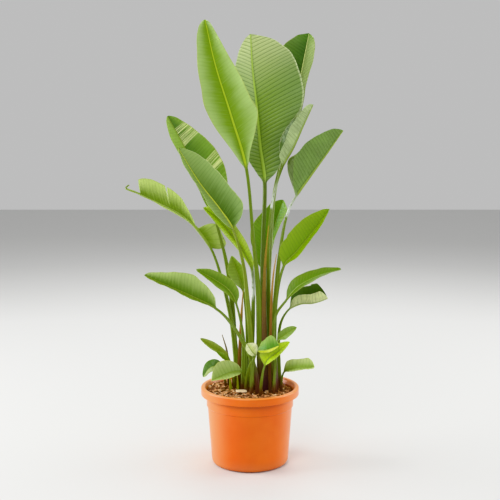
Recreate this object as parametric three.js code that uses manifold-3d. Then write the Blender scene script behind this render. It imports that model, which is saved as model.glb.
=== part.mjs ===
// Giant bird of paradise without flowers, in a nursery pot of bark potting mix.
// Millimetres, +Z up, +Y away from the viewer. The origin is the middle of the pot's underside.

import * as THREE from "three";
import { mergeVertices } from "three/addons/utils/BufferGeometryUtils.js";
import Module from "manifold-3d";

const wasm = await Module();
wasm.setup();

// Driving dimensions of the pot
const POT_HEIGHT = 240;
const RIM_RADIUS = 150;
const LIP_DEPTH = 24;
const LIP_THICKNESS = 3;
const LIP_OVERHANG = 14;
const COLLAR_RADIUS = 133;
const COLLAR_BOTTOM = 180;
const BODY_TOP_RADIUS = 129.5;
const BODY_BOTTOM_RADIUS = 117.5;
const BASE_ROUNDING = 12;
const WALL = 2.8;
const POT_SIDES = 44;
const DRAIN_HOLES = 6;
const DRAIN_RADIUS = 7;
const DRAIN_CIRCLE = 74;

// Driving dimensions of the potting mix
const CLEARANCE = 0.35;
const SOIL_LEVEL = 228;
const SOIL_SLOPE_X = -0.03;
const SOIL_SLOPE_Y = -0.02;
const SOIL_ROUGHNESS = 2.2;
const SOIL_RINGS = 4;
const ROOT_DEPTH = 203;
const SOCKET_TOP = 247;
const BARK_CHIPS = 22;
const BARK_SIZE = 17;
const BARK_SEED = 7;

// Driving dimensions of the leaves
const BLADE_THICKNESS = 1.2;
const SECTION_POINTS = 7;
const MID_POINT = 0.55;
const BLADE_STEPS = 12;
const VEIN_SLANT = [0.04, 0.42];
const VEIN_EASE = 4;
const VEIN_BOW = 0.15;
const FOOT_SHARE = 0.08;
const TIP_ROUNDING = 1.6;
const LONGEST_TIP = 0.25;
const TEAR_GAPE = 0.018;
const TEAR_DEPTH = 0.8;
const PLEAT = 1.4;
const HALF_PHASE = 1.3;
const CALM_WIDTH = 26;
const LENGTH_STEPS = 60;
const RIB_TAPER = 0.72;
const KEEL_DEPTH = 1.2;
const STALK_FLATNESS = 0.88;
const ROOT_FACING = new THREE.Vector3(0, -1, 0);

const GREEN = {
  bright: 0x8fae3c,
  fresh: 0x6f9a3e,
  deep: 0x4c7a39,
  pale: 0xa3b878,
};

// Each leaf is one stalk and one blade along a path of hand-placed points, from the foot in the
// mix to the tip. neck is the point where the blade starts. left and right are half widths at
// even steps along the blade, seen on its upper face with the tip up. fold and curl, in degrees,
// lift the two halves, and facing is where the upper face looks at the neck and at the tip. Its
// edges wave to waving millimetres, waves times along the blade. Four values are given only where
// a leaf isn't like the rest: slant is the lean of its side veins at the blade's foot and further
// on, ease is how late that lean fades before the tip, steps is how many stretches the blade has,
// and extra is where it has sections between them. One leaf has lost the right half of its blade
// from tornOff on, and is split from the right edge at tear.
const LEAVES = [
  {
    name: "leaf_tall_left",
    path: [[38, 4, ROOT_DEPTH], [34, 3, 290], [30, 0, 385], [25, -10, 540], [10, -22, 695],
      [-10, -36, 905], [-55, -58, 1065], [-100, -62, 1210], [-130, -48, 1340]],
    neck: 5, stalk: [7, 4.6],
    left: [5, 33, 59, 72, 64, 57, 46, 36, 16],
    right: [5, 23, 59, 84, 75, 69, 64, 56, 47, 38, 29, 20, 9],
    fold: 20, curl: 6, facing: [[0, -1, 0.1], [0.05, -1, 0.2]],
    waves: 2.5, waving: 4, colour: "bright",
  },
  {
    name: "leaf_tall_centre",
    path: [[52, 32, ROOT_DEPTH], [48, 30, 290], [45, 30, 375], [40, 35, 530], [40, 45, 685],
      [45, 55, 855], [30, 60, 975], [19, 60, 1095], [7, 60, 1200], [1, 44, 1303]],
    neck: 5, stalk: [8, 6.2],
    left: [5, 53, 48, 52, 65, 71, 62, 42, 10],
    right: [5, 55, 60, 78, 132, 145, 145, 139, 129, 114, 88, 62, 40],
    fold: 20, curl: -4, facing: [[0.36, -0.93, 0.05], [0.36, -0.9, 0.25]],
    waves: 3, waving: 2, colour: "fresh", ease: 24, steps: 16,
  },
  {
    name: "leaf_back_right",
    path: [[60, 60, ROOT_DEPTH], [56, 60, 290], [54, 60, 370], [56, 70, 525], [63, 80, 680],
      [77, 95, 835], [110, 120, 970], [135, 134, 1085], [160, 142, 1200], [181, 145, 1310]],
    neck: 6, stalk: [6.5, 5.2],
    left: [5, 42, 62, 72, 74, 77, 72, 48, 18],
    right: [5, 34, 54, 54, 53, 61, 60, 48, 22],
    fold: 33, curl: 4, facing: [[-0.5, -0.85, 0.1], [-0.52, -0.83, 0.2]],
    waves: 2, waving: 3, colour: "deep", ease: 24,
  },
  {
    name: "leaf_furled_right",
    path: [[66, 43, ROOT_DEPTH], [63, 42, 290], [60, 41, 375], [57, 40, 530], [56, 43, 685],
      [68, 47, 805], [97, 53, 905], [130, 57, 965], [160, 63, 1030], [190, 63, 1095]],
    neck: 6, stalk: [6, 4],
    left: [4, 41, 62, 64, 59, 45, 32, 22, 12],
    right: [4, 27, 33, 34, 33, 31, 28, 22, 14],
    fold: 58, curl: 12, facing: [[-0.85, 0.3, 0.4], [-0.85, 0.3, 0.4]],
    waves: 2, waving: 2, colour: "pale",
  },
  {
    name: "leaf_right_high",
    path: [[76, 24, ROOT_DEPTH], [72, 22, 290], [70, 20, 380], [80, 15, 535], [90, 10, 645],
      [108, 8, 755], [135, 0, 820], [180, 0, 885], [230, -5, 955], [276, 0, 1020]],
    neck: 6, stalk: [6.5, 4.2],
    left: [14, 102, 102, 88, 76, 64, 50, 34, 18],
    right: [4, 46, 82, 80, 75, 63, 49, 34, 22],
    fold: 48, curl: 10, facing: [[-0.9, 0.1, 0.4], [-0.72, 0.4, 0.55]],
    waves: 2, waving: 1, colour: "pale", slant: [0.4, 0.42], ease: 12,
  },
  {
    name: "leaf_right_middle",
    path: [[82, 3, ROOT_DEPTH], [78, 2, 290], [75, 0, 385], [80, -10, 510], [100, -16, 610],
      [140, -25, 660], [190, -35, 725], [235, -45, 790]],
    neck: 4, stalk: [6, 4],
    left: [4, 46, 53, 54, 49, 41, 28, 9],
    right: [4, 34, 43, 44, 40, 34, 23, 9],
    fold: 38, curl: 6, facing: [[-0.5, -0.75, 0.42], [-0.45, -0.75, 0.48]],
    waves: 2, waving: 1.5, colour: "fresh",
  },
  {
    name: "leaf_right_low",
    path: [[78, -22, ROOT_DEPTH], [74, -18, 290], [70, -16, 355], [75, -20, 455], [108, -25, 510],
      [145, -36, 556], [205, -50, 592], [270, -60, 612]],
    neck: 4, stalk: [5.5, 3.8],
    left: [4, 27, 35, 35, 32, 27, 18, 5],
    right: [4, 29, 36, 36, 33, 27, 18, 5],
    fold: 14, curl: 4, facing: [[-0.3, -0.4, 0.86], [0.05, -0.3, 0.95]],
    waves: 1.2, waving: 2, colour: "fresh",
  },
  {
    name: "leaf_right_cupped",
    path: [[95, 44, ROOT_DEPTH], [90, 42, 290], [88, 40, 360], [94, 38, 425], [118, 35, 470],
      [155, 33, 490], [188, 31, 492], [214, 30, 498], [238, 30, 507]],
    neck: 4, stalk: [5, 3.4],
    left: [6, 42, 54, 61, 60, 56, 44],
    right: [6, 36, 42, 43, 43, 44, 34],
    fold: 42, curl: 30, facing: [[-0.3, -0.1, 0.95], [-0.2, -0.05, 0.97]],
    waves: 1.5, waving: 0.5, colour: "pale", slant: [0.04, 0.1], ease: 20,
  },
  {
    name: "leaf_left_high",
    path: [[8, -4, ROOT_DEPTH], [6, -5, 290], [3, -7, 385], [-7, -12, 500], [-20, -20, 620],
      [-50, -30, 725], [-90, -38, 790], [-150, -46, 870], [-210, -56, 970]],
    neck: 5, stalk: [6.5, 4.4],
    left: [5, 50, 56, 54, 40, 35, 32, 25, 6],
    right: [5, 62, 68, 65, 65, 61, 55, 38, 9],
    fold: 36, curl: 4, facing: [[0.5, -0.8, 0.34], [0.48, -0.8, 0.36]],
    waves: 2, waving: 3, colour: "fresh",
  },
  {
    name: "leaf_left_back",
    path: [[-32, 62, ROOT_DEPTH], [-40, 62, 280], [-49, 62, 375], [-56, 60, 490], [-71, 54, 605],
      [-90, 50, 690], [-108, 52, 755], [-140, 58, 850], [-190, 70, 950], [-250, 75, 1060]],
    neck: 6, stalk: [5.5, 3.8],
    left: [4, 22, 26, 28, 32, 36, 30, 10],
    right: [4, 58, 80, 82, 75, 61, 41, 12],
    fold: 24, curl: 6, facing: [[0.3, -0.9, 0.2], [0.3, -0.9, 0.3]],
    waves: 2, waving: 3, colour: "deep",
  },
  {
    name: "leaf_left_torn",
    path: [[-42, 44, ROOT_DEPTH], [-42, 43, 290], [-48, 44, 370], [-62, 46, 460], [-90, 50, 575],
      [-118, 46, 656], [-161, 42, 720], [-207, 36, 762], [-255, 29, 790], [-310, 19, 818],
      [-342, 14, 833], [-366, 9, 845], [-372, 8, 849]],
    neck: 5, stalk: [5.5, 3.8],
    left: [5, 8, 7, 7, 8, 7, 5, 6, 7, 6, 4, 3, 2],
    right: [38, 46, 54, 58, 3, 8, 23, 37, 51, 61, 68, 68, 66, 66, 66, 62, 57, 52, 47, 45, 44,
      42, 40, 36, 30, 20, 10, 5, 2],
    fold: 5, curl: 4, facing: [[0, -0.6, 0.8], [0, -0.6, 0.8]],
    waves: 2, waving: 2, colour: "fresh", slant: [-2.2, 0.6], steps: 22,
    tornOff: 0.65, tear: 0.39, extra: [0.11, 0.381, 0.39, 0.399, 0.65, 0.668],
  },
  {
    name: "leaf_left_strap",
    path: [[-2, 14, ROOT_DEPTH], [1, 12, 290], [5, 10, 370], [9.5, 7, 475], [8, 7, 590],
      [-20, 6, 655], [-60, 5, 710], [-100, 0, 758], [-140, 0, 790]],
    neck: 4, stalk: [6.6, 5],
    left: [3.5, 16, 23, 27, 28, 22, 5],
    right: [3.5, 18, 26, 30, 31, 24, 6],
    fold: 34, curl: 4, facing: [[0.3, -0.85, 0.3], [0.3, -0.8, 0.5]],
    waves: 1.5, waving: 2, colour: "fresh", steps: 9,
  },
  {
    name: "leaf_left_low",
    path: [[25, -40, ROOT_DEPTH], [20, -40, 275], [3, -43, 338], [-27, -50, 400], [-63, -55, 455],
      [-100, -60, 492], [-165, -75, 530], [-235, -90, 565], [-310, -100, 601]],
    neck: 5, stalk: [5.5, 4],
    left: [5, 24, 32, 34, 32, 28, 22, 13, 4],
    right: [5, 37, 54, 60, 52, 45, 35, 23, 6],
    fold: 38, curl: 6, facing: [[0.3, -0.67, 0.68], [0.3, -0.67, 0.68]],
    waves: 2, waving: 3, colour: "fresh",
  },
  {
    name: "leaf_left_narrow",
    path: [[-22, -14, ROOT_DEPTH], [-20, -12, 300], [-21, -16, 400], [-40, -22, 495],
      [-62, -30, 542], [-105, -40, 577], [-160, -50, 610]],
    neck: 3, stalk: [4.6, 3.2],
    left: [3, 16, 22, 24, 20, 14, 4],
    right: [3, 21, 28, 28, 24, 18, 4],
    fold: 24, curl: 6, facing: [[0.2, -0.8, 0.5], [0.2, -0.8, 0.5]],
    waves: 1.5, waving: 2, colour: "fresh", steps: 8,
  },
  {
    name: "leaf_left_inner",
    path: [[-6, 36, ROOT_DEPTH], [-6, 33, 345], [-10, 31, 440], [-20, 30, 525], [-32, 26, 570],
      [-45, 24, 605], [-56, 20, 640]],
    neck: 3, stalk: [4.6, 3.2],
    left: [3, 23, 32, 30, 20, 4],
    right: [3, 17, 22, 22, 14, 4],
    fold: 26, curl: 6, facing: [[0.1, -0.95, 0.2], [0.1, -0.95, 0.2]],
    waves: 1.5, waving: 2, colour: "pale", steps: 8,
  },
  {
    name: "leaf_centre_back",
    path: [[30, 84, ROOT_DEPTH], [28, 85, 290], [26, 87, 370], [35, 100, 490], [40, 106, 575],
      [56, 116, 648], [80, 124, 730], [103, 126, 800]],
    neck: 4, stalk: [5.5, 3.8],
    left: [4, 30, 60, 68, 58, 45, 35, 20],
    right: [4, 16, 18, 18, 22, 26, 30, 14],
    fold: 22, curl: 6, facing: [[-0.42, -0.9, 0.12], [-0.35, -0.92, 0.16]],
    waves: 2, waving: 3, colour: "bright",
  },
  {
    name: "leaf_small_right",
    path: [[70, -52, ROOT_DEPTH], [75, -50, 300], [82, -46, 384], [104, -46, 408], [140, -50, 434]],
    neck: 2, stalk: [3.6, 2.6],
    left: [2.5, 16, 18, 15, 7],
    right: [2.5, 14, 16, 13, 5],
    fold: 20, curl: 10, facing: [[-0.3, -0.8, 0.5], [-0.3, -0.8, 0.5]],
    waves: 1, waving: 1, colour: "fresh", steps: 6,
  },
  {
    name: "leaf_low_dark",
    path: [[4, -58, ROOT_DEPTH], [6, -60, 295], [12, -66, 345], [20, -75, 367], [50, -97, 376],
      [86, -107, 392]],
    neck: 3, stalk: [3.8, 2.8],
    left: [4, 26, 34, 38, 32],
    right: [3, 10, 11, 10, 5],
    fold: 14, curl: 16, facing: [[0, -0.8, 0.55], [0, -0.8, 0.55]],
    waves: 1, waving: 1.5, colour: "deep", slant: [0.04, 0.15], ease: 20, steps: 6,
  },
  {
    name: "leaf_low_bright",
    path: [[30, -62, ROOT_DEPTH], [33, -68, 255], [37, -73, 292], [43, -76, 320], [56, -81, 345],
      [82, -90, 368], [118, -98, 400]],
    neck: 3, stalk: [3.8, 2.8],
    left: [4, 29, 33, 28, 18, 6],
    right: [3, 16, 20, 18, 13, 6],
    fold: 22, curl: 10, facing: [[-0.3, -0.8, 0.5], [-0.3, -0.8, 0.5]],
    waves: 1, waving: 1.5, colour: "bright", steps: 7,
  },
  {
    name: "leaf_low_curled",
    path: [[-14, -32, ROOT_DEPTH], [-12, -53, 270], [-1, -75, 325], [16, -88, 353], [5, -98, 372],
      [-10, -102, 397]],
    neck: 3, stalk: [2.8, 2],
    left: [3, 15, 20, 18, 9],
    right: [3, 24, 26, 20, 9],
    fold: 12, curl: 40, facing: [[0.1, -0.85, 0.4], [-0.1, -0.6, 0.7]],
    waves: 1, waving: 1, colour: "bright", steps: 6,
  },
  {
    name: "leaf_low_right",
    path: [[97, -14, ROOT_DEPTH], [96, -13, 240], [102, -8, 281], [128, -14, 296], [162, -20, 302],
      [196, -22, 305]],
    neck: 2, stalk: [3.8, 2.8],
    left: [8, 28, 30, 30, 28, 20],
    right: [3, 14, 18, 20, 19, 16],
    fold: 18, curl: 14, facing: [[-0.3, -0.5, 0.8], [0.2, -0.5, 0.84]],
    waves: 1.5, waving: 2, colour: "deep", slant: [0.04, 0.2], ease: 20, steps: 7,
  },
  {
    name: "leaf_small_spear",
    path: [[-54, 22, ROOT_DEPTH], [-52, 24, 252], [-62, 24, 312], [-90, 20, 340], [-120, 15, 362],
      [-152, 10, 385]],
    neck: 2, stalk: [3.8, 2.6],
    left: [2.5, 12, 15, 15, 11, 3],
    right: [2.5, 12, 15, 15, 11, 3],
    fold: 24, curl: 6, facing: [[0.2, -0.7, 0.6], [0.2, -0.7, 0.65]],
    waves: 1, waving: 1, colour: "fresh", steps: 7,
  },
  {
    name: "leaf_small_folded",
    path: [[-48, -2, ROOT_DEPTH], [-47, -2, 255], [-62, -6, 306], [-82, -11, 332], [-102, -14, 350]],
    neck: 2, stalk: [3, 2.2],
    left: [2, 9, 11, 8, 3],
    right: [2, 10, 12, 8, 3],
    fold: 34, curl: 6, facing: [[0.3, -0.7, 0.6], [0.3, -0.7, 0.6]],
    waves: 1, waving: 1, colour: "bright", steps: 5,
  },
  {
    name: "leaf_low_pale",
    path: [[-4, -30, ROOT_DEPTH], [-6, -32, 245], [-22, -42, 290], [-50, -57, 298], [-82, -70, 290],
      [-116, -80, 278]],
    neck: 2, stalk: [4, 3],
    left: [3, 19, 24, 22, 14, 4],
    right: [3, 26, 40, 42, 30, 4],
    fold: 26, curl: 6, facing: [[0.1, -0.72, 0.68], [0.05, -0.75, 0.66]],
    waves: 1.5, waving: 2, colour: "pale", slant: [0.04, 0.15], steps: 8,
  },
  {
    name: "leaf_low_left_dark",
    path: [[-74, 22, ROOT_DEPTH], [-76, 18, 245], [-84, 12, 280], [-106, 8, 298], [-126, 2, 292],
      [-143, -5, 268]],
    neck: 2, stalk: [3.4, 2.6],
    left: [2.5, 14, 16, 14, 9, 4],
    right: [2.5, 19, 24, 22, 14, 4],
    fold: 8, curl: -10, facing: [[-0.2, -0.7, 0.7], [-0.5, -0.8, 0.3]],
    waves: 1, waving: 1, colour: "deep", slant: [0.04, 0.2], steps: 7,
  },
];

// Dry sheaths, a cut stalk and young sprouts that stand in the mix: points and a radius at each
const SPEARS = [
  {
    name: "sheath_centre", colour: 0x6b3d2a, flatness: 0.6,
    path: [[48, -16, ROOT_DEPTH], [46, -14, 300], [43, -12, 400], [42, -8, 510], [46, 0, 625],
      [56, 5, 735]],
    radii: [9, 8.5, 8, 6.6, 3.8, 0.8],
  },
  {
    name: "sheath_right", colour: 0xa5582c, flatness: 0.6,
    path: [[62, -36, ROOT_DEPTH], [60, -35, 300], [62, -34, 400], [64, -28, 500], [70, -17, 585],
      [80, -10, 650]],
    radii: [5, 4.6, 4.2, 4, 2.6, 0.8],
  },
  {
    name: "sheath_left", colour: 0x7a4a30, flatness: 0.6,
    path: [[-34, 6, ROOT_DEPTH], [-33, 3, 300], [-30, 2, 380], [-26, 5, 460], [-21, 9, 535]],
    radii: [6.5, 6, 5, 4, 0.8],
  },
  {
    name: "dry_stalk", colour: 0x8d8270, flatness: 0.8,
    path: [[-66, 46, ROOT_DEPTH], [-67, 44, 280], [-72, 40, 340], [-86, 36, 392]],
    radii: [4.5, 4, 3, 1.2],
  },
  {
    name: "sprout_left", colour: 0x9cb45a, flatness: 0.7,
    path: [[-57, -15, ROOT_DEPTH], [-59, -16, 240], [-62, -18, 278]],
    radii: [4, 4.5, 0.8],
  },
  {
    name: "sprout_inner", colour: 0x8fae4e, flatness: 0.7,
    path: [[-36, -20, ROOT_DEPTH], [-37, -22, 245], [-39, -24, 284]],
    radii: [3.4, 3.8, 0.8],
  },
];

const CHIP = { name: "wood_chip", at: [-26, -53], length: 33, width: 11, thickness: 4.5, turn: 0.12 };

// The surface of the potting mix: a gentle slope with low lumps
function soilHeight(x, y) {
  const lumps = Math.sin(x / 11 + 1) * Math.cos(y / 13) + 0.6 * Math.sin((x + y) / 7);
  return SOIL_LEVEL + SOIL_SLOPE_X * x + SOIL_SLOPE_Y * y + SOIL_ROUGHNESS * lumps;
}

// A repeatable stream of numbers from 0 to 1
function randomStream(seed) {
  let state = seed;
  return () => {
    state = (state * 16807) % 2147483647;
    return state / 2147483647;
  };
}

function toSolid(geometry) {
  const bare = geometry.clone();
  bare.deleteAttribute("normal");
  bare.deleteAttribute("uv");
  const merged = mergeVertices(bare, 1e-4);
  return new wasm.Manifold(new wasm.Mesh({
    numProp: 3,
    vertProperties: new Float32Array(merged.attributes.position.array),
    triVerts: new Uint32Array(merged.index.array),
  }));
}

function toGeometry(solid) {
  const mesh = solid.getMesh();
  const geometry = new THREE.BufferGeometry();
  geometry.setAttribute("position", new THREE.BufferAttribute(mesh.vertProperties, 3));
  geometry.setIndex(new THREE.BufferAttribute(mesh.triVerts, 1));
  return geometry;
}

function makeMesh(name, geometry, colour, roughness) {
  const material = new THREE.MeshStandardMaterial({ color: colour, roughness, metalness: 0 });
  const mesh = new THREE.Mesh(geometry, material);
  mesh.name = name;
  return mesh;
}

// The closed skin over a run of sections. Each section has the same number of points on its top
// and on its bottom, and both faces are split along the same diagonals.
function skinGeometry(sections) {
  const across = sections[0].top.length;
  const positions = [];
  for (const { top, bottom } of sections) {
    for (const point of [...top, ...bottom]) positions.push(point.x, point.y, point.z);
  }
  const topAt = (i, k) => 2 * across * i + k;
  const bottomAt = (i, k) => 2 * across * i + across + k;
  const last = sections.length - 1;
  const faces = [];
  for (let k = 0; k < across - 1; k += 1) {
    faces.push(topAt(0, k), bottomAt(0, k), bottomAt(0, k + 1));
    faces.push(topAt(0, k), bottomAt(0, k + 1), topAt(0, k + 1));
    faces.push(topAt(last, k), topAt(last, k + 1), bottomAt(last, k + 1));
    faces.push(topAt(last, k), bottomAt(last, k + 1), bottomAt(last, k));
    for (let i = 0; i < last; i += 1) {
      faces.push(topAt(i, k), topAt(i, k + 1), topAt(i + 1, k + 1));
      faces.push(topAt(i, k), topAt(i + 1, k + 1), topAt(i + 1, k));
      faces.push(bottomAt(i, k), bottomAt(i + 1, k + 1), bottomAt(i, k + 1));
      faces.push(bottomAt(i, k), bottomAt(i + 1, k), bottomAt(i + 1, k + 1));
    }
  }
  const edge = across - 1;
  for (let i = 0; i < last; i += 1) {
    faces.push(topAt(i, edge), bottomAt(i, edge), bottomAt(i + 1, edge));
    faces.push(topAt(i, edge), bottomAt(i + 1, edge), topAt(i + 1, edge));
    faces.push(topAt(i, 0), bottomAt(i + 1, 0), bottomAt(i, 0));
    faces.push(topAt(i, 0), topAt(i + 1, 0), bottomAt(i + 1, 0));
  }
  const geometry = new THREE.BufferGeometry();
  geometry.setAttribute("position", new THREE.Float32BufferAttribute(positions, 3));
  geometry.setIndex(faces);
  return geometry;
}

function smoothCurve(path) {
  return new THREE.CatmullRomCurve3(path.map((p) => new THREE.Vector3(...p)), false, "catmullrom", 0.5);
}

// The value at fraction f of a smooth run through evenly spaced values
function valueAt(list, f) {
  return smoothCurve(list.map((value) => [value, 0, 0])).getPoint(f).x;
}

// Tangent, sideways and upward directions of a path, turned so that up faces the given way
function frameAt(curve, t, facing) {
  const tangent = curve.getTangent(t);
  const side = new THREE.Vector3().crossVectors(tangent, facing).normalize();
  const up = new THREE.Vector3().crossVectors(side, tangent);
  return { origin: curve.getPoint(t), tangent, side, up };
}

function placePoint(frame, across, lift, forward = 0) {
  return frame.origin.clone()
    .addScaledVector(frame.side, across)
    .addScaledVector(frame.up, lift)
    .addScaledVector(frame.tangent, forward);
}

function roundSection(frame, radius, flatness, points) {
  const top = [];
  const bottom = [];
  for (let k = 0; k < points; k += 1) {
    const angle = Math.PI * (1 - (k + 0.5) / points);
    const across = radius * Math.cos(angle);
    const lift = radius * flatness * Math.sin(angle);
    top.push(placePoint(frame, across, lift));
    bottom.push(placePoint(frame, across, -lift));
  }
  return { top, bottom };
}

function leafFacing(leaf, t, neckAt) {
  const neckFacing = new THREE.Vector3(...leaf.facing[0]).normalize();
  const tipFacing = new THREE.Vector3(...leaf.facing[1]).normalize();
  if (t <= neckAt) return ROOT_FACING.clone().lerp(neckFacing, (t / neckAt) ** 2).normalize();
  return neckFacing.lerp(tipFacing, (t - neckAt) / (1 - neckAt)).normalize();
}

// How far the side veins run on towards the tip for each step sideways
function leanAt(leaf, f) {
  const [foot, blade] = leaf.slant ?? VEIN_SLANT;
  const lean = blade + (foot - blade) * Math.exp(-f / FOOT_SHARE);
  return lean * (1 - f ** (leaf.ease ?? VEIN_EASE));
}

// A half width of the blade: the listed widths, rounded off at the tip like an ellipse
function halfWidth(leaf, hand, f, length) {
  const values = hand < 0 ? leaf.left : leaf.right;
  const tip = Math.min(LONGEST_TIP, (TIP_ROUNDING * values.at(-1)) / length);
  const past = THREE.MathUtils.clamp((f - 1 + tip) / tip, 0, 0.995);
  const width = valueAt(values, f) * Math.sqrt(1 - past ** 2);
  if (hand < 0 || !leaf.tear) return width;
  if (f > leaf.tornOff) return 0;
  const wedge = Math.max(0, 1 - (2 * Math.abs(f - leaf.tear)) / TEAR_GAPE);
  return width * (1 - TEAR_DEPTH * wedge);
}

// One blade section: each half leaves the midrib at the fold angle and bends on by the curl, its
// veins lean towards the tip, and every other section stands up by the pleat
function bladeSection(leaf, frame, f, length, step) {
  const fold = THREE.MathUtils.degToRad(leaf.fold);
  const curl = THREE.MathUtils.degToRad(leaf.curl);
  const rib = leaf.stalk[1] * (1 - RIB_TAPER * f);
  const pleat = (step % 2 === 0 ? 0.5 : -0.5) * PLEAT;
  const top = new Array(SECTION_POINTS);
  const bottom = new Array(SECTION_POINTS);
  const centre = (SECTION_POINTS - 1) / 2;
  top[centre] = placePoint(frame, 0, BLADE_THICKNESS / 2);
  bottom[centre] = placePoint(frame, 0, -BLADE_THICKNESS / 2 - KEEL_DEPTH * rib);
  for (const hand of [-1, 1]) {
    const width = Math.max(halfWidth(leaf, hand, f, length), rib + BLADE_THICKNESS);
    const stations = [rib, rib + MID_POINT * (width - rib), width];
    const phase = hand < 0 ? 0 : HALF_PHASE;
    const calm = Math.min(1, width / CALM_WIDTH);
    stations.forEach((x, index) => {
      const bend = fold + (curl * x) / width;
      const across = (width / curl) * (Math.sin(bend) - Math.sin(fold));
      const lift = (width / curl) * (Math.cos(fold) - Math.cos(bend));
      const share = x / width;
      const swing = Math.sin(2 * Math.PI * leaf.waves * f + phase);
      const wave = calm * leaf.waving * share ** 2 * swing;
      const ripple = index === 0 ? 0 : calm * pleat;
      const forward = leanAt(leaf, f) * x * (1 + VEIN_BOW * (1 - share));
      const half = BLADE_THICKNESS / 2;
      const sideways = hand * across;
      const skew = hand * half * Math.sin(bend);
      const rise = half * Math.cos(bend);
      const height = lift + wave + ripple;
      top[centre + hand * (index + 1)] = placePoint(frame, sideways - skew, height + rise, forward);
      bottom[centre + hand * (index + 1)] = placePoint(frame, sideways + skew, height - rise, forward);
    });
  }
  return { top, bottom };
}

function stalkSections(leaf, curve) {
  const neckAt = leaf.neck / (leaf.path.length - 1);
  const steps = leaf.neck;
  const sections = [];
  for (let i = 0; i <= steps; i += 1) {
    const t = (neckAt * i) / steps;
    const frame = frameAt(curve, t, leafFacing(leaf, t, neckAt));
    const radius = THREE.MathUtils.lerp(leaf.stalk[0], leaf.stalk[1], Math.sqrt(i / steps));
    sections.push(roundSection(frame, radius, STALK_FLATNESS, SECTION_POINTS));
  }
  return sections;
}

// The length of the curve from the neck to the tip
function bladeLength(curve, neckAt) {
  let length = 0;
  for (let i = 1; i <= LENGTH_STEPS; i += 1) {
    const before = curve.getPoint(neckAt + ((1 - neckAt) * (i - 1)) / LENGTH_STEPS);
    length += before.distanceTo(curve.getPoint(neckAt + ((1 - neckAt) * i) / LENGTH_STEPS));
  }
  return length;
}

function leafGeometry(leaf) {
  const curve = smoothCurve(leaf.path);
  const neckAt = leaf.neck / (leaf.path.length - 1);
  const sections = stalkSections(leaf, curve);
  const steps = leaf.steps ?? BLADE_STEPS;
  const places = Array.from({ length: steps }, (_, i) => (i + 1) / steps).concat(leaf.extra ?? []);
  places.sort((a, b) => a - b);
  const length = bladeLength(curve, neckAt);
  places.forEach((f, i) => {
    const t = neckAt + (1 - neckAt) * f;
    const frame = frameAt(curve, t, leafFacing(leaf, t, neckAt));
    sections.push(bladeSection(leaf, frame, f, length, i + 1));
  });
  return skinGeometry(sections);
}

function spearSections(spear) {
  const curve = smoothCurve(spear.path);
  const steps = (spear.path.length - 1) * 2;
  const sections = [];
  for (let i = 0; i <= steps; i += 1) {
    const t = i / steps;
    const frame = frameAt(curve, t, ROOT_FACING);
    sections.push(roundSection(frame, valueAt(spear.radii, t), spear.flatness, 4));
  }
  return sections;
}

// A plain eight-sided hole for a foot, along its first straight stretch, from just below it to
// above the mix
function socketFor(curve, firstStep, radius, flatness) {
  const foot = frameAt(curve, 0, ROOT_FACING);
  const next = curve.getPoint(firstStep);
  const rise = (SOCKET_TOP - foot.origin.z) / (next.z - foot.origin.z);
  const mouth = { ...foot, origin: foot.origin.clone().lerp(next, rise) };
  foot.origin.z -= CLEARANCE;
  const spread = (radius + CLEARANCE) / Math.cos(Math.PI / 8);
  const flatSpread = (radius * flatness + CLEARANCE) / Math.cos(Math.PI / 8);
  return toSolid(skinGeometry([
    roundSection(foot, spread, flatSpread / spread, 4),
    roundSection(mouth, spread, flatSpread / spread, 4),
  ]));
}

function makePot() {
  const inner = (radius) => radius - WALL;
  const lipInner = RIM_RADIUS - LIP_THICKNESS;
  const profile = [
    [0, 0], [BODY_BOTTOM_RADIUS - BASE_ROUNDING, 0],
    [BODY_BOTTOM_RADIUS - BASE_ROUNDING * 0.3, BASE_ROUNDING * 0.3], [BODY_BOTTOM_RADIUS, BASE_ROUNDING],
    [BODY_TOP_RADIUS, COLLAR_BOTTOM - 2], [COLLAR_RADIUS - 1, COLLAR_BOTTOM + 1],
    [COLLAR_RADIUS, POT_HEIGHT - LIP_DEPTH + 2], [RIM_RADIUS - LIP_OVERHANG, POT_HEIGHT - 5],
    [lipInner - 1, POT_HEIGHT - 5], [lipInner, POT_HEIGHT - LIP_DEPTH],
    [RIM_RADIUS - 0.5, POT_HEIGHT - LIP_DEPTH], [RIM_RADIUS, POT_HEIGHT - 3], [RIM_RADIUS - 2.5, POT_HEIGHT],
    [RIM_RADIUS - LIP_OVERHANG, POT_HEIGHT], [inner(COLLAR_RADIUS) + 0.4, POT_HEIGHT - LIP_DEPTH + 4],
    [inner(COLLAR_RADIUS - 1), COLLAR_BOTTOM], [inner(BODY_TOP_RADIUS), COLLAR_BOTTOM - 4],
    [inner(BODY_BOTTOM_RADIUS), BASE_ROUNDING], [BODY_BOTTOM_RADIUS - BASE_ROUNDING, WALL], [0, WALL],
  ].map(([radius, height]) => new THREE.Vector2(radius, height));
  const shell = new THREE.LatheGeometry(profile, POT_SIDES);
  shell.rotateX(Math.PI / 2);
  let solid = toSolid(shell);
  for (let i = 0; i < DRAIN_HOLES; i += 1) {
    const angle = (2 * Math.PI * i) / DRAIN_HOLES;
    const hole = new THREE.CylinderGeometry(DRAIN_RADIUS, DRAIN_RADIUS, 4 * WALL, 10);
    hole.rotateX(Math.PI / 2);
    hole.translate(DRAIN_CIRCLE * Math.cos(angle), DRAIN_CIRCLE * Math.sin(angle), 0);
    solid = solid.subtract(toSolid(hole));
  }
  return makeMesh("pot", toGeometry(solid), 0xd9722f, 0.45);
}

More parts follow.
